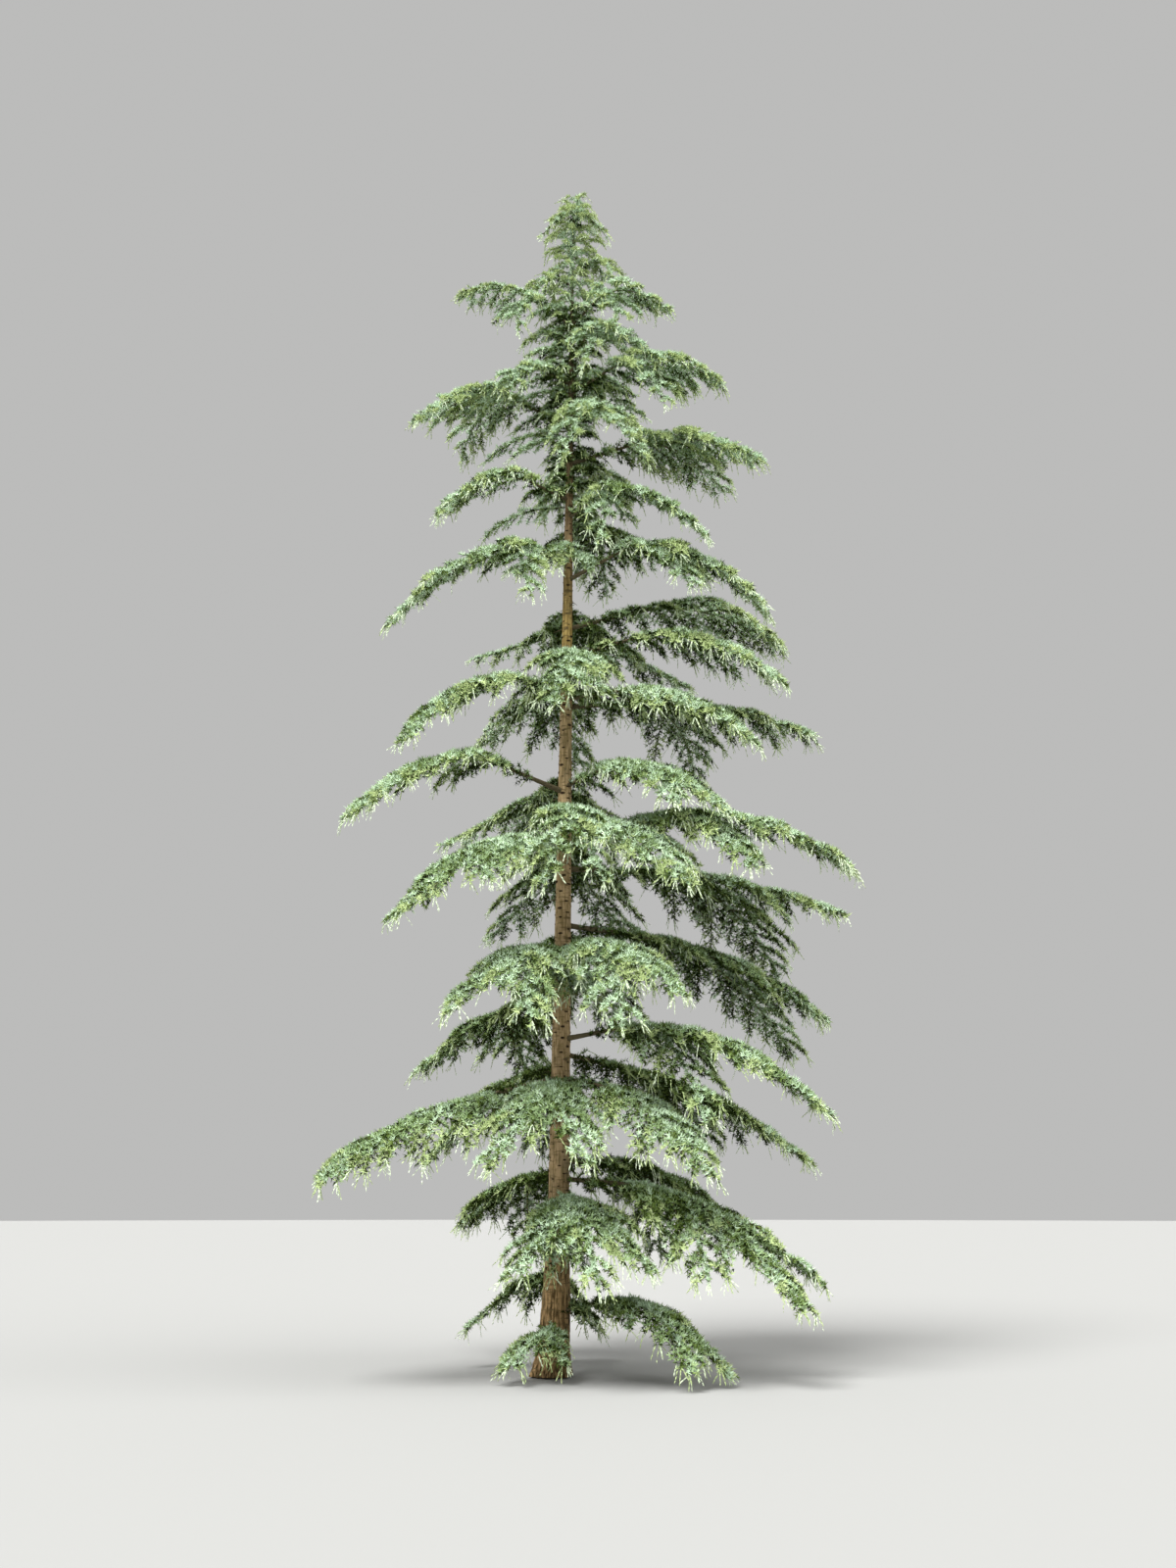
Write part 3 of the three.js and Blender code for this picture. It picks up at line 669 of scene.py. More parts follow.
def dress_twig(spot, start, way, size, light, youth, fringe, needle=1.0):
    """A fine twig set with rosettes, painted paler towards its end and younger there, where a young shoot
    may hang.
    """
    chance = spot.chance
    end = start + way * size
    if not is_clear(spot, [end]):
        return
    add_rod(spot.storey, TWIG_SIDES, np.array([start, end]), np.array(TWIG_RADII))
    places = max(2, int(size / (ROSETTE_PITCH * needle)))
    share = (np.arange(places) + chance.uniform(0.3, 0.9, places)) / places
    headings = np.repeat(way[None, :], places, axis=0)
    points = start + np.outer(share * size, way)
    # Painted light grows towards the twig's end, and so does the needles' youth.
    dress_stretch(spot, points, headings, light + 0.2 * share, youth + 0.2 * share, needle)
    if chance.uniform() < fringe:
        hang = unit(way * 0.75 - UP * chance.uniform(0.35, 1.1))
        reach = chance.uniform(*TWIG_FINGER_REACH)
        if is_clear(spot, [end + hang * reach]):
            young = spot.storey == "top" or chance.uniform() < young_share(spot, 0.4)
            add_finger(spot, "young" if young else "tip", end, hang, reach)


def dress_shoot(spot, root, tip, outer, kind):
    """One side shoot: an arching tongue of a twig with finer ones left and right, and young tips."""
    chance = spot.chance
    needle = kind.needle
    tip = mix(root, tip, kind.reach)
    length = float(np.linalg.norm(tip - root))
    arc = (root, mix(root, tip, SHOOT_SHOULDER) + UP * SHOOT_ARCH * length, tip)
    if not is_clear(spot, arc_point(arc, SHOOT_CHECKED_AT)):
        return
    bends = arc_point(arc, np.linspace(0, 1, SHOOT_BENDS))
    add_rod(spot.storey, TWIG_SIDES, bends, np.linspace(*SHOOT_RADII, SHOOT_BENDS) * (0.6 + length))
    # Painted light: more of it the further out the shoot grows, plus the kind's own share and its storey's
    # painted shade.
    light = SHOOT_LIGHT + kind.glow + SHOOT_OUTER_GLOW * outer + chance.uniform(*SHOOT_LIGHTS)
    youth = kind.youth + chance.uniform(*SHOOT_YOUTHS)
    count = max(3, int(length / (ROSETTE_PITCH * needle)))
    share = (np.arange(count) + chance.uniform(0.2, 0.8, count)) / count
    points, headings = arc_point(arc, share), arc_heading(arc, share)
    # The shoot's back is painted lighter than its finer twigs, a painted highlight along its crest.
    back_light = light + SHOOT_BACK_GLOW + 0.05 * share
    dress_stretch(spot, points, headings, back_light, youth + YOUTH_TO_TIP * share, needle)
    finer = int(min(MOST_TWIGS, max(FEWEST_TWIGS, round(length / kind.pitch))))
    for k in range(finer):
        along = 0.05 + 0.92 * (k + chance.uniform(0.2, 0.8)) / finer
        dress_shoot_twig(spot, arc, k, along, length, light, youth, kind)
    hang_shoot_tips(spot, arc, outer, kind.tips)


def dress_shoot_twig(spot, arc, k, along, length, light, youth, kind):
    """One of a shoot's finer twigs, on its left and right by turns, longest before its middle."""
    chance = spot.chance
    ahead = arc_heading(arc, along)
    profile = min(0.7 + 1.2 * along, 1.18 - 0.85 * along)
    size = (kind.more + kind.share * length) * profile * chance.uniform(*TWIG_SIZES)
    turn = math.radians(kind.angle * (1 - TWIG_ANGLE_FALL * along) + chance.uniform(*TWIG_ANGLES))
    flat = turned(ahead, turn if k % 2 == 0 else -turn)
    way = unit(flat + UP * (0.4 * ahead[2] - chance.uniform(*TWIG_SAG) - 0.3 * along))
    fringe = kind.fringe * max(0.0, 1.6 * along - 0.5)
    # Painted light: a little darker near the shoot, lighter out along it.
    light = light - 0.06 + 0.08 * along + chance.uniform(*TWIG_LIGHTS)
    youth = youth + YOUTH_TO_TIP * along + chance.uniform(*TWIG_YOUTHS)
    dress_twig(spot, arc_point(arc, along), way, size, light, youth, fringe, kind.needle)


def hang_shoot_tips(spot, arc, outer, tips):
    """The young shoots that hang in a tuft from a side shoot's tip."""
    chance = spot.chance
    for _ in range(tips):
        spread = chance.normal(0, TIP_FINGER_SPREAD, 3) * np.array([1, 1, 0.35])
        hang = unit(unit(arc_heading(arc, 1.0) * 0.8 - UP * chance.uniform(0.3, 0.9)) + spread)
        reach = chance.uniform(*TIP_FINGER_REACH)
        # Painted light: tips further out are more often the pale kind, those further in the greener kind.
        share = 0.6 if spot.storey == "top" else young_share(spot, 0.7 - 0.6 * outer)
        tint = "young" if chance.uniform() < share else "tip"
        if is_clear(spot, [arc[2] + hang * reach]):
            add_finger(spot, tint, arc[2], hang, reach)


def dress_inner(spot, bough, first_share, outer):
    """Short twigs all round the stretch from the trunk to the fork, so that little wood shows."""
    chance = spot.chance
    stretch = bough["fork"] - bough["start"]
    length = float(np.linalg.norm(stretch))
    heading = unit(stretch)
    first, second = across_of(heading[None, :])
    count = int(length * (1 - first_share) / INNER_TWIG_PITCH)
    for k in range(count):
        along = first_share + (1 - first_share) * (k + chance.uniform()) / count
        turn = k * TWIG_TURN
        around = first[0] * math.cos(turn) + second[0] * math.sin(turn) * 0.6
        way = unit(around + heading * 0.7 - UP * 0.1)
        size = chance.uniform(*INNER_TWIG_REACH)
        # Painted shade: the inner twigs are dark, and only those of boughs with a lead at the front get
        # some painted light.
        light = INNER_TWIG_LIGHT * outer
        dress_twig(spot, bough["start"] + stretch * along, way, size, light, -0.3, 0.1)


def dress_lead(spot, lead):
    """The lead's own rosettes and short twigs along its back, and the young shoots at its end."""
    chance = spot.chance
    arc = lead["arc"]
    count = int(lead["run"] / ROSETTE_PITCH * LEAD_ROSETTE_CROWDING)
    share = 0.01 + 0.99 * (np.arange(count) + chance.uniform(0, 1, count)) / count
    points, headings = arc_point(arc, share), arc_heading(arc, share)
    # Painted light: the lead's crest is painted pale, paler towards its tip, and the twigs along its back
    # too.
    dress_stretch(spot, points, headings, LEAD_LIGHT + 0.14 * share, -0.35 + 0.6 * share, lift=0.7)
    finer = int(lead["run"] / LEAD_TWIG_PITCH)
    for k in range(finer):
        along = (k + chance.uniform()) / finer
        ahead = arc_heading(arc, along) + UP * chance.uniform(0.1, 0.5)
        way = unit(ahead + chance.normal(0, 0.45, 3) * np.array([1, 1, 0.2]))
        size = chance.uniform(*LEAD_TWIG_REACH)
        youth = -0.2 + 0.6 * along
        dress_twig(spot, arc_point(arc, along), way, size, LEAD_TWIG_LIGHT, youth, 0.0)
    for _ in range(LEAD_TIPS):
        hang = unit(arc_heading(arc, 1.0) - UP * chance.uniform(0.1, 0.7) + chance.normal(0, 0.3, 3))
        reach = chance.uniform(*LEAD_FINGER_REACH)
        if is_clear(spot, [arc[2] + hang * reach]):
            add_finger(spot, "tip", arc[2], hang, reach)


def kind_of_shoot(name, main, at_front):
    """Which kind a side shoot is, by where it grows and whether it is one of the main ones."""
    if int(name[:2]) >= FIRST_SPIRE_BOUGH:
        return SPIRE_SHOOT
    if storey_of(name) == "top":
        return TOP_SHOOT
    if main:
        return FULL_SHOOT
    return FRONT_SHOOT if at_front else SLIGHT_SHOOT


def dress_bough(bough, index, wood):
    """All twigs and needles of a bough, on the side shoots that the part's source draws for it."""
    name = bough["name"]
    spot = Spot(bough["storey"], name, wood, np.random.default_rng(TWIG_SEED + index))
    draws = seeded_draws(FIRST_SEED + SEED_STEP * index)
    fork_outer = 0.0
    for lead in bough["leads"]:
        first_outer = FRONT_OUTER if lead["at_front"] else BACK_OUTER
        if lead["at_front"]:
            fork_outer = FRONT_OUTER
        shoots = shoots_of_lead(lead, draws)
        inner = [k for k, shoot in enumerate(shoots) if shoot[2] < TERMINAL_START]
        count = KEPT_MORE + nearest(lead["reach"] / KEPT_PITCH)
        kept = {inner[math.floor((k + 0.5) * len(inner) / count)] for k in range(count)}
        for k, (root, tip, along) in enumerate(shoots):
            main = k in kept or len(bough["leads"]) == 1 or along > TERMINAL_START
            # How far out along the fan, for its painted light.
            outer = first_outer + (1 - first_outer) * along
            dress_shoot(spot, root, tip, outer, kind_of_shoot(name, main, lead["at_front"]))
        dress_lead(spot, lead)
    if bough["bare"]:
        dress_inner(spot, bough, LIMB_TWIGS_FROM, fork_outer)
        return
    for root, tip in inner_shoots(bough, draws):
        dress_shoot(spot, root, tip, fork_outer, kind_of_shoot(name, True, False))
    dress_inner(spot, bough, INNER_TWIGS_FROM, fork_outer)


def dress_top(wood):
    """Short shoots round the trunk, close together, that make the top a dense spire."""
    spot = Spot("top", "trunk", wood, np.random.default_rng(TWIG_SEED - 1))
    heights, lengths, rises = zip(*TOP_SHOOTS)
    height, k = heights[0], 0
    while height < heights[-1]:
        in_spire = height >= SPIRE_FOOT
        length = np.interp(height, heights, lengths) * spot.chance.uniform(0.7, 1.15)
        flat = flat_heading(k * TURN_ROUND_TRUNK)
        root = on_trunk(height, flat)
        rise = np.interp(height, heights, rises) + spot.chance.uniform(-0.1, 0.1)
        # Painted light by height, darker low in the top.
        outer = np.interp(height, *TOP_OUTER)
        tip = root + flat * length + UP * length * rise
        dress_shoot(spot, root, tip, outer, SPIRE_SHOOT if in_spire else TOP_SHOOT)
        height += SPIRE_SHOOT_PITCH if in_spire else TOP_SHOOT_PITCH
        k += 1
    levels = np.arange(SPIRE_FOOT, heights[-1], LEADER_ROSETTE_PITCH)
    points = np.array([trunk_axis(level) for level in levels])
    headings = np.repeat(UP[None, :], len(levels), axis=0)
    # Painted light on the leader's rosettes.
    dress_stretch(spot, points, headings, LEADER_LIGHT, 0.0, lift=0.1)


def dress_trunk_shoots(wood):
    """The single hanging shoots that hide parts of the trunk between the tiers."""
    chance = np.random.default_rng(TWIG_SEED - 2)
    for storey, height, degrees, length, rise in TRUNK_SHOOTS:
        flat = flat_heading(degrees)
        root = on_trunk(height, flat)
        tip = root + flat * length + UP * length * rise
        dress_shoot(Spot(storey, "trunk", wood, chance), root, tip, TRUNK_SHOOT_OUTER, FULL_SHOOT)


def add_bough_wood(bough):
    """A bough's wood as rods: its leads, and the stretch to its fork where no limb is modelled."""
    for k, lead in enumerate(bough["leads"]):
        thick = bough["fork_radius"] * (1 if k == 0 else SIDE_LEAD_SHARE)
        share = np.linspace(0, 1, LEAD_BENDS)
        radii = mix(thick, LEAD_TIP_RADIUS, share**0.8)
        add_rod(bough["storey"], BOUGH_SIDES, arc_point(lead["arc"], share), radii)
    if not bough["bare"]:
        share = np.linspace(0.04, 1, BOUGH_BENDS)
        points = bough["start"] + np.outer(share, bough["fork"] - bough["start"])
        radii = mix(bough["base_radius"] * BOUGH_COLLAR, bough["fork_radius"], share**0.6)
        add_rod(bough["storey"], BOUGH_SIDES, points, radii)


def grow_crown():
    """Grows every bough, then dresses each of them clear of the wood of all the others."""
    boughs = [grow_bough(row) for row in BOUGHS]
    for bough in boughs:
        stretch = bough["fork"] - bough["start"]
        mark_wood(bough["start"] + np.outer(np.linspace(0.2, 1, 12), stretch), bough["name"])
        for lead in bough["leads"]:
            mark_wood(arc_point(lead["arc"], np.linspace(0, 1, 40)), bough["name"])
    wood = build_wood_tree()
    for index, bough in enumerate(boughs):
        add_bough_wood(bough)
        dress_bough(bough, index, wood)
    dress_top(wood)
    dress_trunk_shoots(wood)
    add_stubs()
    return boughs


def add_stubs():
    """Short dead stubs of lost twigs on the bare stretches of the trunk."""
    chance = np.random.default_rng(TWIG_SEED + 800)
    for k in range(STUBS):
        height = STUBS_FROM + STUBS_SPAN * (k + chance.uniform()) / STUBS
        outward = flat_heading(k * TURN_ROUND_TRUNK + 60 + chance.uniform(-25, 25))
        root = trunk_axis(height) + outward * (trunk_radius(height) - STUB_ROOT_DEPTH)
        reach = chance.uniform(*STUB_REACH)
        bend = root + outward * reach * 0.5 + UP * reach * chance.uniform(-0.1, 0.2)
        end = root + outward * reach + UP * reach * chance.uniform(-0.5, 0.3)
        storey = "low" if height < STUBS_OF_LOW_STOREY_UP_TO else "upper_middle"
        add_rod(storey, STUB_SIDES, np.array([root, bend, end]), np.array(STUB_RADII))


def mesh_piece(name, points, triangles, material, smooth=False):
    """A piece of the model from its points and triangles."""
    mesh = bpy.data.meshes.new(name)
    mesh.vertices.add(len(points))
    mesh.vertices.foreach_set("co", points.astype(np.float32).ravel())
    mesh.loops.add(len(triangles) * 3)
    mesh.loops.foreach_set("vertex_index", triangles.astype(np.int32).ravel())
    mesh.polygons.add(len(triangles))
    mesh.polygons.foreach_set("loop_start", np.arange(len(triangles), dtype=np.int32) * 3)
    mesh.polygons.foreach_set("use_smooth", np.full(len(triangles), smooth))
    mesh.update(calc_edges=True)
    mesh.validate()
    mesh.materials.append(material)
    piece = bpy.data.objects.new(name, mesh)
    bpy.context.scene.collection.objects.link(piece)
    return piece


def needle_mesh(sets, chance):
    """Every needle as one narrow blade that comes to a point, its flat side turned outward."""
    roots, ways, faces, lengths, widths = (np.concatenate([part[k] for part in sets]) for k in range(5))
    across = units(np.cross(ways, faces))
    other = np.cross(ways, across)
    roll = chance.uniform(*NEEDLE_ROLL, (len(ways), 1))
    half = (across * np.cos(roll) + other * np.sin(roll)) * (widths / 2)[:, None]
    points = np.stack([roots - half, roots + half, roots + ways * lengths[:, None]], axis=1)
    points[..., 2] = np.maximum(points[..., 2], FLOOR_GAP)
    triangles = np.arange(len(roots) * 3).reshape(-1, 3)
    return points.reshape(-1, 3), triangles


def ring_ways(ways, sides):
    """Directions evenly all round each given direction."""
    first, second = across_of(ways)
    angle = (np.arange(sides) * 2 * math.pi / sides)[None, :, None]
    return first[:, None, :] * np.cos(angle) + second[:, None, :] * np.sin(angle)


def rod_mesh(points, radii, sides):
    """Many tapering rods of the same number of bends at once, closed at both ends."""
    rods, bends = points.shape[:2]
    if bends == 2:
        return spike_mesh(points, radii, sides)
    along = np.empty_like(points)
    along[:, 1:-1] = points[:, 2:] - points[:, :-2]
    along[:, 0] = points[:, 1] - points[:, 0]
    along[:, -1] = points[:, -1] - points[:, -2]
    ring = ring_ways(units(along.reshape(-1, 3)), sides)
    places = points.reshape(-1, 1, 3) + ring * radii.reshape(-1, 1, 1)
    grid = np.arange(rods * bends * sides).reshape(rods, bends, sides)
    here, there = grid[:, :-1, :], grid[:, 1:, :]
    here_next, there_next = np.roll(here, -1, axis=2), np.roll(there, -1, axis=2)
    walls = np.concatenate([
        np.stack([here, here_next, there_next], axis=-1).reshape(-1, 3),
        np.stack([here, there_next, there], axis=-1).reshape(-1, 3),
    ])
    caps = []
    for k in range(1, sides - 1):
        caps.append(np.stack([grid[:, 0, 0], grid[:, 0, k + 1], grid[:, 0, k]], axis=-1))
        caps.append(np.stack([grid[:, -1, 0], grid[:, -1, k], grid[:, -1, k + 1]], axis=-1))
    return places.reshape(-1, 3), np.concatenate([walls, *caps])


def spike_mesh(points, radii, sides):
    """Many straight twigs at once, each a slim closed spike."""
    ring = ring_ways(units(points[:, 1] - points[:, 0]), sides)
    places = np.concatenate([points[:, :1] + ring * radii[:, :1, None], points[:, 1:]], axis=1)
    grid = np.arange(len(points) * (sides + 1)).reshape(-1, sides + 1)
    tips = grid[:, sides]
    faces = [np.stack([grid[:, k], grid[:, (k + 1) % sides], tips], axis=-1) for k in range(sides)]
    faces += [np.stack([grid[:, 0], grid[:, k + 1], grid[:, k]], axis=-1) for k in range(1, sides - 1)]
    return places.reshape(-1, 3), np.concatenate(faces)


def wood_mesh(storey):
    """All the boughs and twigs of one storey in one mesh."""
    all_points, all_triangles, offset = [], [], 0
    for (place, sides, _), rods in sorted(rod_sets.items()):
        if place == storey:
            bends = np.array([rod[0] for rod in rods])
            radii = np.array([rod[1] for rod in rods])
            points, triangles = rod_mesh(bends, radii, sides)
            all_points.append(points)
            all_triangles.append(triangles + offset)
            offset += len(points)
    points = np.concatenate(all_points)
    points[:, 2] = np.maximum(points[:, 2], FLOOR_GAP)
    return points, np.concatenate(all_triangles)


def nodes_of(storey):
    return [f"foliage_{row[0]}" for row in BOUGHS if storey_of(row[0]) == storey]


def make_crown_pieces(materials, twig_bark):
    """Joins each storey's needles, tint by tint, and its wood into pieces of the model."""
    chance = np.random.default_rng(TWIG_SEED + 500)
    for (storey, tint), sets in sorted(needle_sets.items()):
        points, triangles = needle_mesh(sets, chance)
        piece = mesh_piece(f"needles_{tint}_{storey}", points, triangles, materials[tint])
        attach(piece, "root")
        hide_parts(*nodes_of(storey))
    for storey, _ in STOREYS:
        points, triangles = wood_mesh(storey)
        piece = mesh_piece(f"boughs_and_twigs_{storey}", points, triangles, twig_bark, True)
        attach(piece, "root")
        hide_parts(*nodes_of(storey))


def new_material(name, roughness, specular):
    """A material, its node tree and its shader, with the finish set."""
    material = bpy.data.materials.new(name)
    material.use_nodes = True
    shader = material.node_tree.nodes["Principled BSDF"]
    shader.inputs["Roughness"].default_value = roughness
    shader.inputs["Specular IOR Level"].default_value = specular
    return material, material.node_tree, shader


def mapped_texture(tree, kind, stretch, scale):
    """A texture over the piece's own place, finer along an axis that is scaled up."""
    place = tree.nodes.new("ShaderNodeTexCoord")
    mapping = tree.nodes.new("ShaderNodeMapping")
    mapping.inputs["Scale"].default_value = stretch
    texture = tree.nodes.new(kind)
    texture.inputs["Scale"].default_value = scale
    tree.links.new(place.outputs["Object"], mapping.inputs["Vector"])
    tree.links.new(mapping.outputs["Vector"], texture.inputs["Vector"])
    return texture


def noise_pattern(tree, stretch, scale, detail):
    noise = mapped_texture(tree, "ShaderNodeTexNoise", stretch, scale)
    noise.inputs["Detail"].default_value = detail
    return noise.outputs["Fac"]


def blend_colours(tree, pattern, limits, below, above):
    """One colour where the pattern is under the lower limit, the other over the upper one."""
    share = tree.nodes.new("ShaderNodeMapRange")
    share.inputs["From Min"].default_value = limits[0]
    share.inputs["From Max"].default_value = limits[1]
    tree.links.new(pattern, share.inputs["Value"])
    blend = tree.nodes.new("ShaderNodeMix")
    blend.data_type = "RGBA"
    tree.links.new(share.outputs["Result"], blend.inputs["Factor"])
    for socket, colour in ((blend.inputs[6], below), (blend.inputs[7], above)):
        if isinstance(colour, tuple):
            socket.default_value = (*colour, 1)
        else:
            tree.links.new(colour, socket)
    return blend.outputs[2]


def height_colours(tree, stops):
    """Colours that change up the trunk, at the given shares of its height."""
    place = tree.nodes.new("ShaderNodeTexCoord")
    parts = tree.nodes.new("ShaderNodeSeparateXYZ")
    tree.links.new(place.outputs["Object"], parts.inputs["Vector"])
    height = tree.nodes.new("ShaderNodeMath")
    height.operation = "DIVIDE"
    height.inputs[1].default_value = TREE_HEIGHT
    tree.links.new(parts.outputs["Z"], height.inputs[0])
    ramp = tree.nodes.new("ShaderNodeValToRGB")
    steps = ramp.color_ramp.elements
    for k, (position, colour) in enumerate(stops):
        step = steps[k] if k < 2 else steps.new(position)
        step.position = position
        step.color = (*colour, 1)
    tree.links.new(height.outputs["Value"], ramp.inputs["Fac"])
    return ramp.outputs["Color"]


def add_bump(tree, shader, pattern, strength, distance):
    bump = tree.nodes.new("ShaderNodeBump")
    bump.inputs["Strength"].default_value = strength
    bump.inputs["Distance"].default_value = distance
    tree.links.new(pattern, bump.inputs["Height"])
    tree.links.new(bump.outputs["Normal"], shader.inputs["Normal"])


def needle_material(tint):
    """Needles of one tint, each spray a little lighter or darker."""
    lighter, darker = NEEDLE_COLOURS[tint]
    material, tree, shader = new_material(f"needles_{tint}", *NEEDLE_FINISH)
    sprays = noise_pattern(tree, (1, 1, 1), 14, 3)
    tone = blend_colours(tree, sprays, (0.35, 0.68), darker, lighter)
    tree.links.new(tone, shader.inputs["Base Color"])
    return material


def twig_material():
    """Grey-brown bark in broad patches of tone, with short dark marks across."""
    material, tree, shader = new_material("twig_bark", *BARK_FINISH)
    fine = noise_pattern(tree, (1, 1, 1), 60, 6)
    broad = noise_pattern(tree, (1, 1, 1), 3, 3)
    both = tree.nodes.new("ShaderNodeMath")
    both.operation = "ADD"
    tree.links.new(fine, both.inputs[0])
    tree.links.new(broad, both.inputs[1])
    sum_of_both = both.outputs["Value"]
    tone = blend_colours(tree, sum_of_both, (0.72, 1.28), (0.09, 0.075, 0.04), (0.16, 0.13, 0.075))
    marks = mapped_texture(tree, "ShaderNodeTexVoronoi", (9, 9, 26), 1.6).outputs["Distance"]
    marked = blend_colours(tree, marks, (0.1, 0.2), (0.04, 0.03, 0.02), tone)
    tree.links.new(marked, shader.inputs["Base Color"])
    add_bump(tree, shader, fine, 0.5, 0.004)
    return material


def trunk_material():
    """Bark that is brown and fissured at the foot, tan in the middle and golden higher up, and dark with
    painted shade up inside the crown.
    """
    material, tree, shader = new_material("trunk_bark", *BARK_FINISH)
    ridges = height_colours(tree, RIDGE_COLOURS)
    grooves = height_colours(tree, GROOVE_COLOURS)
    fissures = noise_pattern(tree, (1, 1, 0.13), 58, 6)
    bands = noise_pattern(tree, (11, 11, 46), 1, 4)
    patches = noise_pattern(tree, (1, 1, 0.5), 6, 3)
    # Grooves take the darker tones: the bark's own darker colour with painted shade in the fissures.
    ridged = blend_colours(tree, fissures, (0.4, 0.58), grooves, ridges)
    banded = blend_colours(tree, bands, (0.52, 0.7), ridged, (0.13, 0.092, 0.042))
    # Broad darker greenish patches at random.
    mottled = blend_colours(tree, patches, (0.52, 0.95), banded, (0.11, 0.1, 0.05))
    tree.links.new(mottled, shader.inputs["Base Color"])
    add_bump(tree, shader, fissures, 0.6, 0.006)
    return material


def scar_material():
    """The dark, rough face of an old twig's scar."""
    material, tree, shader = new_material("twig_scar", *SCAR_FINISH)
    rough = noise_pattern(tree, (1, 1, 1), 90, 3)
    tone = blend_colours(tree, rough, (0.35, 0.7), (0.02, 0.013, 0.007), (0.09, 0.06, 0.032))
    tree.links.new(tone, shader.inputs["Base Color"])
    return material


def deselect_all():
    if bpy.context.object and bpy.context.object.mode != "OBJECT":
        bpy.ops.object.mode_set(mode="OBJECT")
    bpy.ops.object.select_all(action="DESELECT")


def start_rings(name, sides, radius, place, tilt=(0, 0, 0)):
    """A flat ring to extrude a round piece from, wider by what subdivision takes off its radius."""
    deselect_all()
    kept = (4 + 2 * math.cos(2 * math.pi / sides)) / 6
    bpy.ops.mesh.primitive_circle_add(
        vertices=sides, radius=radius / kept, fill_type="NGON", location=tuple(place), rotation=tilt
    )
    piece = bpy.context.object
    piece.name = name
    bpy.ops.object.transform_apply(location=True, rotation=True, scale=True)
    bpy.ops.object.mode_set(mode="EDIT")
    bpy.ops.mesh.select_all(action="SELECT")
    return piece


def add_ring(move, size, centre):
    bpy.ops.mesh.extrude_region_move(TRANSFORM_OT_translate={"value": tuple(move)})
    bpy.ops.transform.resize(value=size, center_override=tuple(centre))


def end_rings():
    bpy.ops.mesh.select_all(action="SELECT")
    bpy.ops.mesh.normals_make_consistent(inside=False)
    bpy.ops.object.mode_set(mode="OBJECT")


def round_off(piece, levels):
    rounding = piece.modifiers.new("rounding", "SUBSURF")
    rounding.levels = rounding.render_levels = levels
    bpy.ops.object.modifier_apply(modifier="rounding")


def relief(piece, name, kind, size, stretch, strength, group=""):
    """Pushes a piece's surface in and out by a pattern, stretched along the height."""
    texture = bpy.data.textures.new(name, kind)
    texture.noise_scale = size
    if kind == "CLOUDS":
        texture.noise_depth = 2
    else:
        texture.weight_1 = -1
        texture.weight_2 = 1
        texture.noise_intensity = 1.4
    guide = bpy.data.objects.new(name, None)
    bpy.context.scene.collection.objects.link(guide)
    guide.scale = (1, 1, stretch)
    push = piece.modifiers.new(name, "DISPLACE")
    push.texture = texture
    push.texture_coords = "OBJECT"
    push.texture_coords_object = guide
    push.strength = strength
    push.mid_level = 0.5
    push.vertex_group = group
    bpy.context.view_layer.update()
    bpy.ops.object.modifier_apply(modifier=name)
    bpy.data.objects.remove(guide)


def swell_roots(trunk, heights):
    """Pushes the trunk's lowest rings out where its roots run into the ground."""
    for height in heights:
        centre = trunk_axis(height)
        bpy.ops.object.mode_set(mode="EDIT")
        bpy.ops.mesh.select_all(action="DESELECT")
        bpy.ops.object.mode_set(mode="OBJECT")
        for vertex in trunk.data.vertices:
            flat = vertex.co - Vector(centre)
            around = math.degrees(math.atan2(flat.y, flat.x))
            near = min(abs((around - lobe + 180) % 360 - 180) for lobe in ROOT_LOBES)
            vertex.select = abs(flat.z) < RING_TOLERANCE and near < 180 / TRUNK_SIDES
        bpy.ops.object.mode_set(mode="EDIT")
        swell = 1 + ROOT_LOBE_SWELL * math.exp(-height / ROOT_LOBE_HEIGHT)
        bpy.ops.transform.resize(value=(swell, swell, 1), center_override=tuple(centre))
        bpy.ops.object.mode_set(mode="OBJECT")


def mark_rough_bark(trunk):
    """A vertex group that is full at the foot and fades where the bark turns smooth."""
    group = trunk.vertex_groups.new(name="rough_bark")
    heights = np.array([vertex.co.z for vertex in trunk.data.vertices])
    levels = np.clip(np.round(heights / ROUGH_BARK_STEP), 0, ROUGH_BARK_STEPS).astype(int)
    for level in range(ROUGH_BARK_STEPS + 1):
        fade = (ROUGH_BARK_STEP * level - ROUGH_BARK_TOP) / ROUGH_BARK_FADE
        weight = min(1.0, max(SMOOTH_BARK_SHARE, 1 - fade))
        group.add(np.flatnonzero(levels == level).tolist(), weight, "REPLACE")


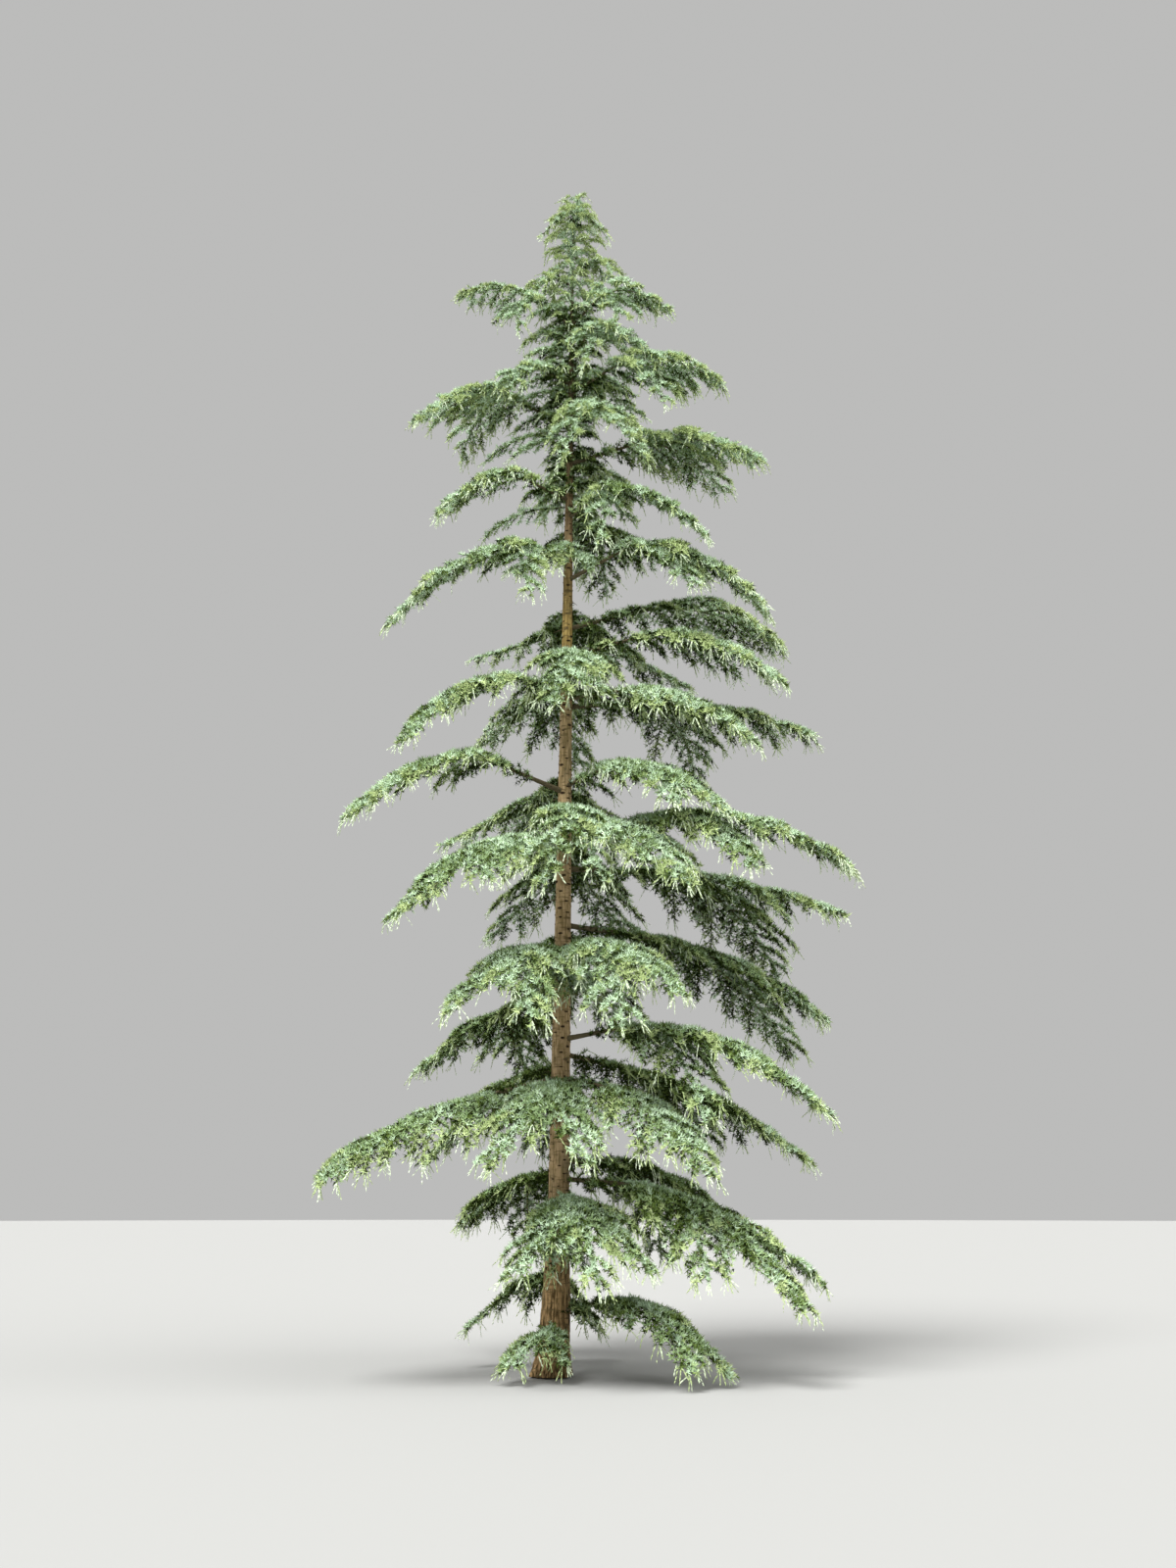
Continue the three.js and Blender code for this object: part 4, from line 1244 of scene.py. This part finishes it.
def model_trunk(material):
    """The trunk with its bark's relief, ring by ring along its axis from the ground to its tip."""
    height, radius = 0.0, trunk_radius(0)
    trunk = start_rings("trunk_with_bark", TRUNK_SIDES, radius, trunk_axis(0))
    levels = [height]
    while height < TREE_HEIGHT:
        pitch = FOOT_RING_PITCH + RING_PITCH_PER_METRE * height if height else FOOT_EDGE
        new_height = min(TREE_HEIGHT, height + pitch)
        swell = BARK_SWELL * math.exp(-(((new_height - BARK_SWELL_AT) / BARK_SWELL_SPREAD) ** 2))
        new_radius = trunk_radius(new_height) + swell
        size = new_radius / radius
        centre = trunk_axis(new_height)
        add_ring(centre - trunk_axis(height), (size, size, 1), centre)
        height, radius = new_height, new_radius
        levels.append(height)
    end_rings()
    swell_roots(trunk, levels[:ROOT_RINGS])
    round_off(trunk, TRUNK_ROUNDING)
    mark_rough_bark(trunk)
    relief(trunk, "fissures", "VORONOI", 0.04, 5.0, 0.014, "rough_bark")
    relief(trunk, "plates", "CLOUDS", 0.035, 3.0, 0.006)
    relief(trunk, "grain", "CLOUDS", 0.012, 4.0, 0.003)
    bpy.ops.object.shade_smooth()
    trunk.data.materials.append(material)
    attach(trunk, "root")
    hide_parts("trunk")


def make_scars(material):
    """The dark scars of lost twigs, each a low dished button set into the bark."""
    chance = np.random.default_rng(TWIG_SEED + 700)
    sides = SCAR_SIDES
    angle = np.arange(sides) * 2 * math.pi / sides
    points, triangles = [], []
    for k in range(SCARS):
        height = SCARS_FROM + SCARS_SPAN * ((k + chance.uniform()) / SCARS) ** SCARS_LOWER_CROWDING
        outward = flat_way(math.radians(k * TURN_ROUND_TRUNK + chance.uniform(-20, 20)))
        around = np.array([-outward[1], outward[0], 0.0])
        centre = on_trunk(height, outward)
        wide = chance.uniform(*SCAR_SIZES) * min(1.0, 0.4 + trunk_radius(height) / 0.1)
        tall = wide * chance.uniform(*SCAR_TALLNESS)
        for size, depth in SCAR_RINGS:
            ring = np.outer(np.cos(angle) * wide * size, around) + np.outer(np.sin(angle) * tall * size, UP)
            ring = ring + centre + outward * depth
            points.append(ring if size else ring[:1])
        first = k * (3 * sides + 2)
        for i in range(sides):
            here, there = first + i, first + (i + 1) % sides
            for ring in (0, sides):
                triangles.append((here + ring, there + ring, there + ring + sides))
                triangles.append((here + ring, there + ring + sides, here + ring + sides))
            triangles.append((here + 2 * sides, there + 2 * sides, first + 3 * sides))
            triangles.append((there, here, first + 3 * sides + 1))
    piece = mesh_piece("scars_on_trunk", np.concatenate(points), np.array(triangles), material)
    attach(piece, "root")
    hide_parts("trunk")


def model_limb(bough, material):
    """A limb of bare wood from a collar in the trunk to its fork."""
    name, start, base = bough["name"], bough["start"], bough["base_radius"]
    way = unit(bough["fork"] - start)
    reach = float(np.linalg.norm(bough["fork"] - start)) + LIMB_OVERLAP
    tilt = Vector((0, 0, 1)).rotation_difference(Vector(way)).to_euler()
    limb = start_rings(f"limb_{name}", LIMB_SIDES, base * LIMB_COLLAR, start, tilt)
    last = LIMB_COLLAR
    for k in range(1, LIMB_RINGS + 1):
        share = k / LIMB_RINGS
        collar = (1 - share) ** 3
        thick = LIMB_COLLAR * collar + (1 - collar) * (1 - (1 - FORK_RADIUS_SHARE) * share)
        add_ring(way * reach / LIMB_RINGS, (thick / last,) * 3, start + way * reach * share)
        last = thick
    end_rings()
    round_off(limb, LIMB_ROUNDING)
    relief(limb, "limb_grain", "CLOUDS", 0.02, 1.0, 0.004)
    bpy.ops.object.shade_smooth()
    limb.data.materials.append(material)
    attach(limb, "root")
    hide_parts(f"bough_{name}")


def make_camera():
    lens = bpy.data.cameras.new("photo_camera")
    lens.sensor_fit = "VERTICAL"
    lens.sensor_height = SENSOR_HEIGHT
    lens.lens = LENS_LENGTH
    lens.clip_end = 400
    camera = bpy.data.objects.new("photo_camera", lens)
    camera.location = CAMERA_PLACE
    camera.rotation_euler = (math.radians(90 + CAMERA_PITCH), 0, 0)
    bpy.context.scene.collection.objects.link(camera)
    bpy.context.scene.camera = camera


def make_light(name, strength, spread, place):
    lamp = bpy.data.lights.new(name, "SUN")
    lamp.energy = strength
    lamp.angle = math.radians(spread)
    light = bpy.data.objects.new(name, lamp)
    light.location = place
    light.rotation_euler = (Vector(LIGHT_AIM) - Vector(place)).to_track_quat("-Z", "Y").to_euler()
    bpy.context.scene.collection.objects.link(light)


def make_studio():
    """Soft light all round, a broad light from above, a weak one from the side, and a pale floor."""
    world = bpy.data.worlds.new("pale_studio")
    world.use_nodes = True
    back = world.node_tree.nodes["Background"]
    back.inputs["Color"].default_value = (0.88, 0.88, 0.87, 1)
    back.inputs["Strength"].default_value = 0.57
    bpy.context.scene.world = world
    make_light("soft_top_light", 5.8, 30, (-5, -10, 17))
    make_light("weak_side_light", 1.6, 60, (10, -7, 16))
    deselect_all()
    bpy.ops.mesh.primitive_circle_add(
        vertices=96, radius=FLOOR_RADIUS, fill_type="NGON", location=(0, 0, -0.002)
    )
    floor = bpy.context.object
    floor.name = "studio_floor"
    material, _, shader = new_material("floor_paint", *FLOOR_FINISH)
    shader.inputs["Base Color"].default_value = (0.35, 0.35, 0.34, 1)
    floor.data.materials.append(material)


make_camera()
make_studio()
materials = {tint: needle_material(tint) for tint in NEEDLE_COLOURS}
twig_bark = twig_material()
boughs = grow_crown()
make_crown_pieces(materials, twig_bark)
model_trunk(trunk_material())
make_scars(scar_material())
for bough in boughs:
    if bough["bare"]:
        model_limb(bough, twig_bark)
bpy.context.scene.view_settings.view_transform = "Standard"
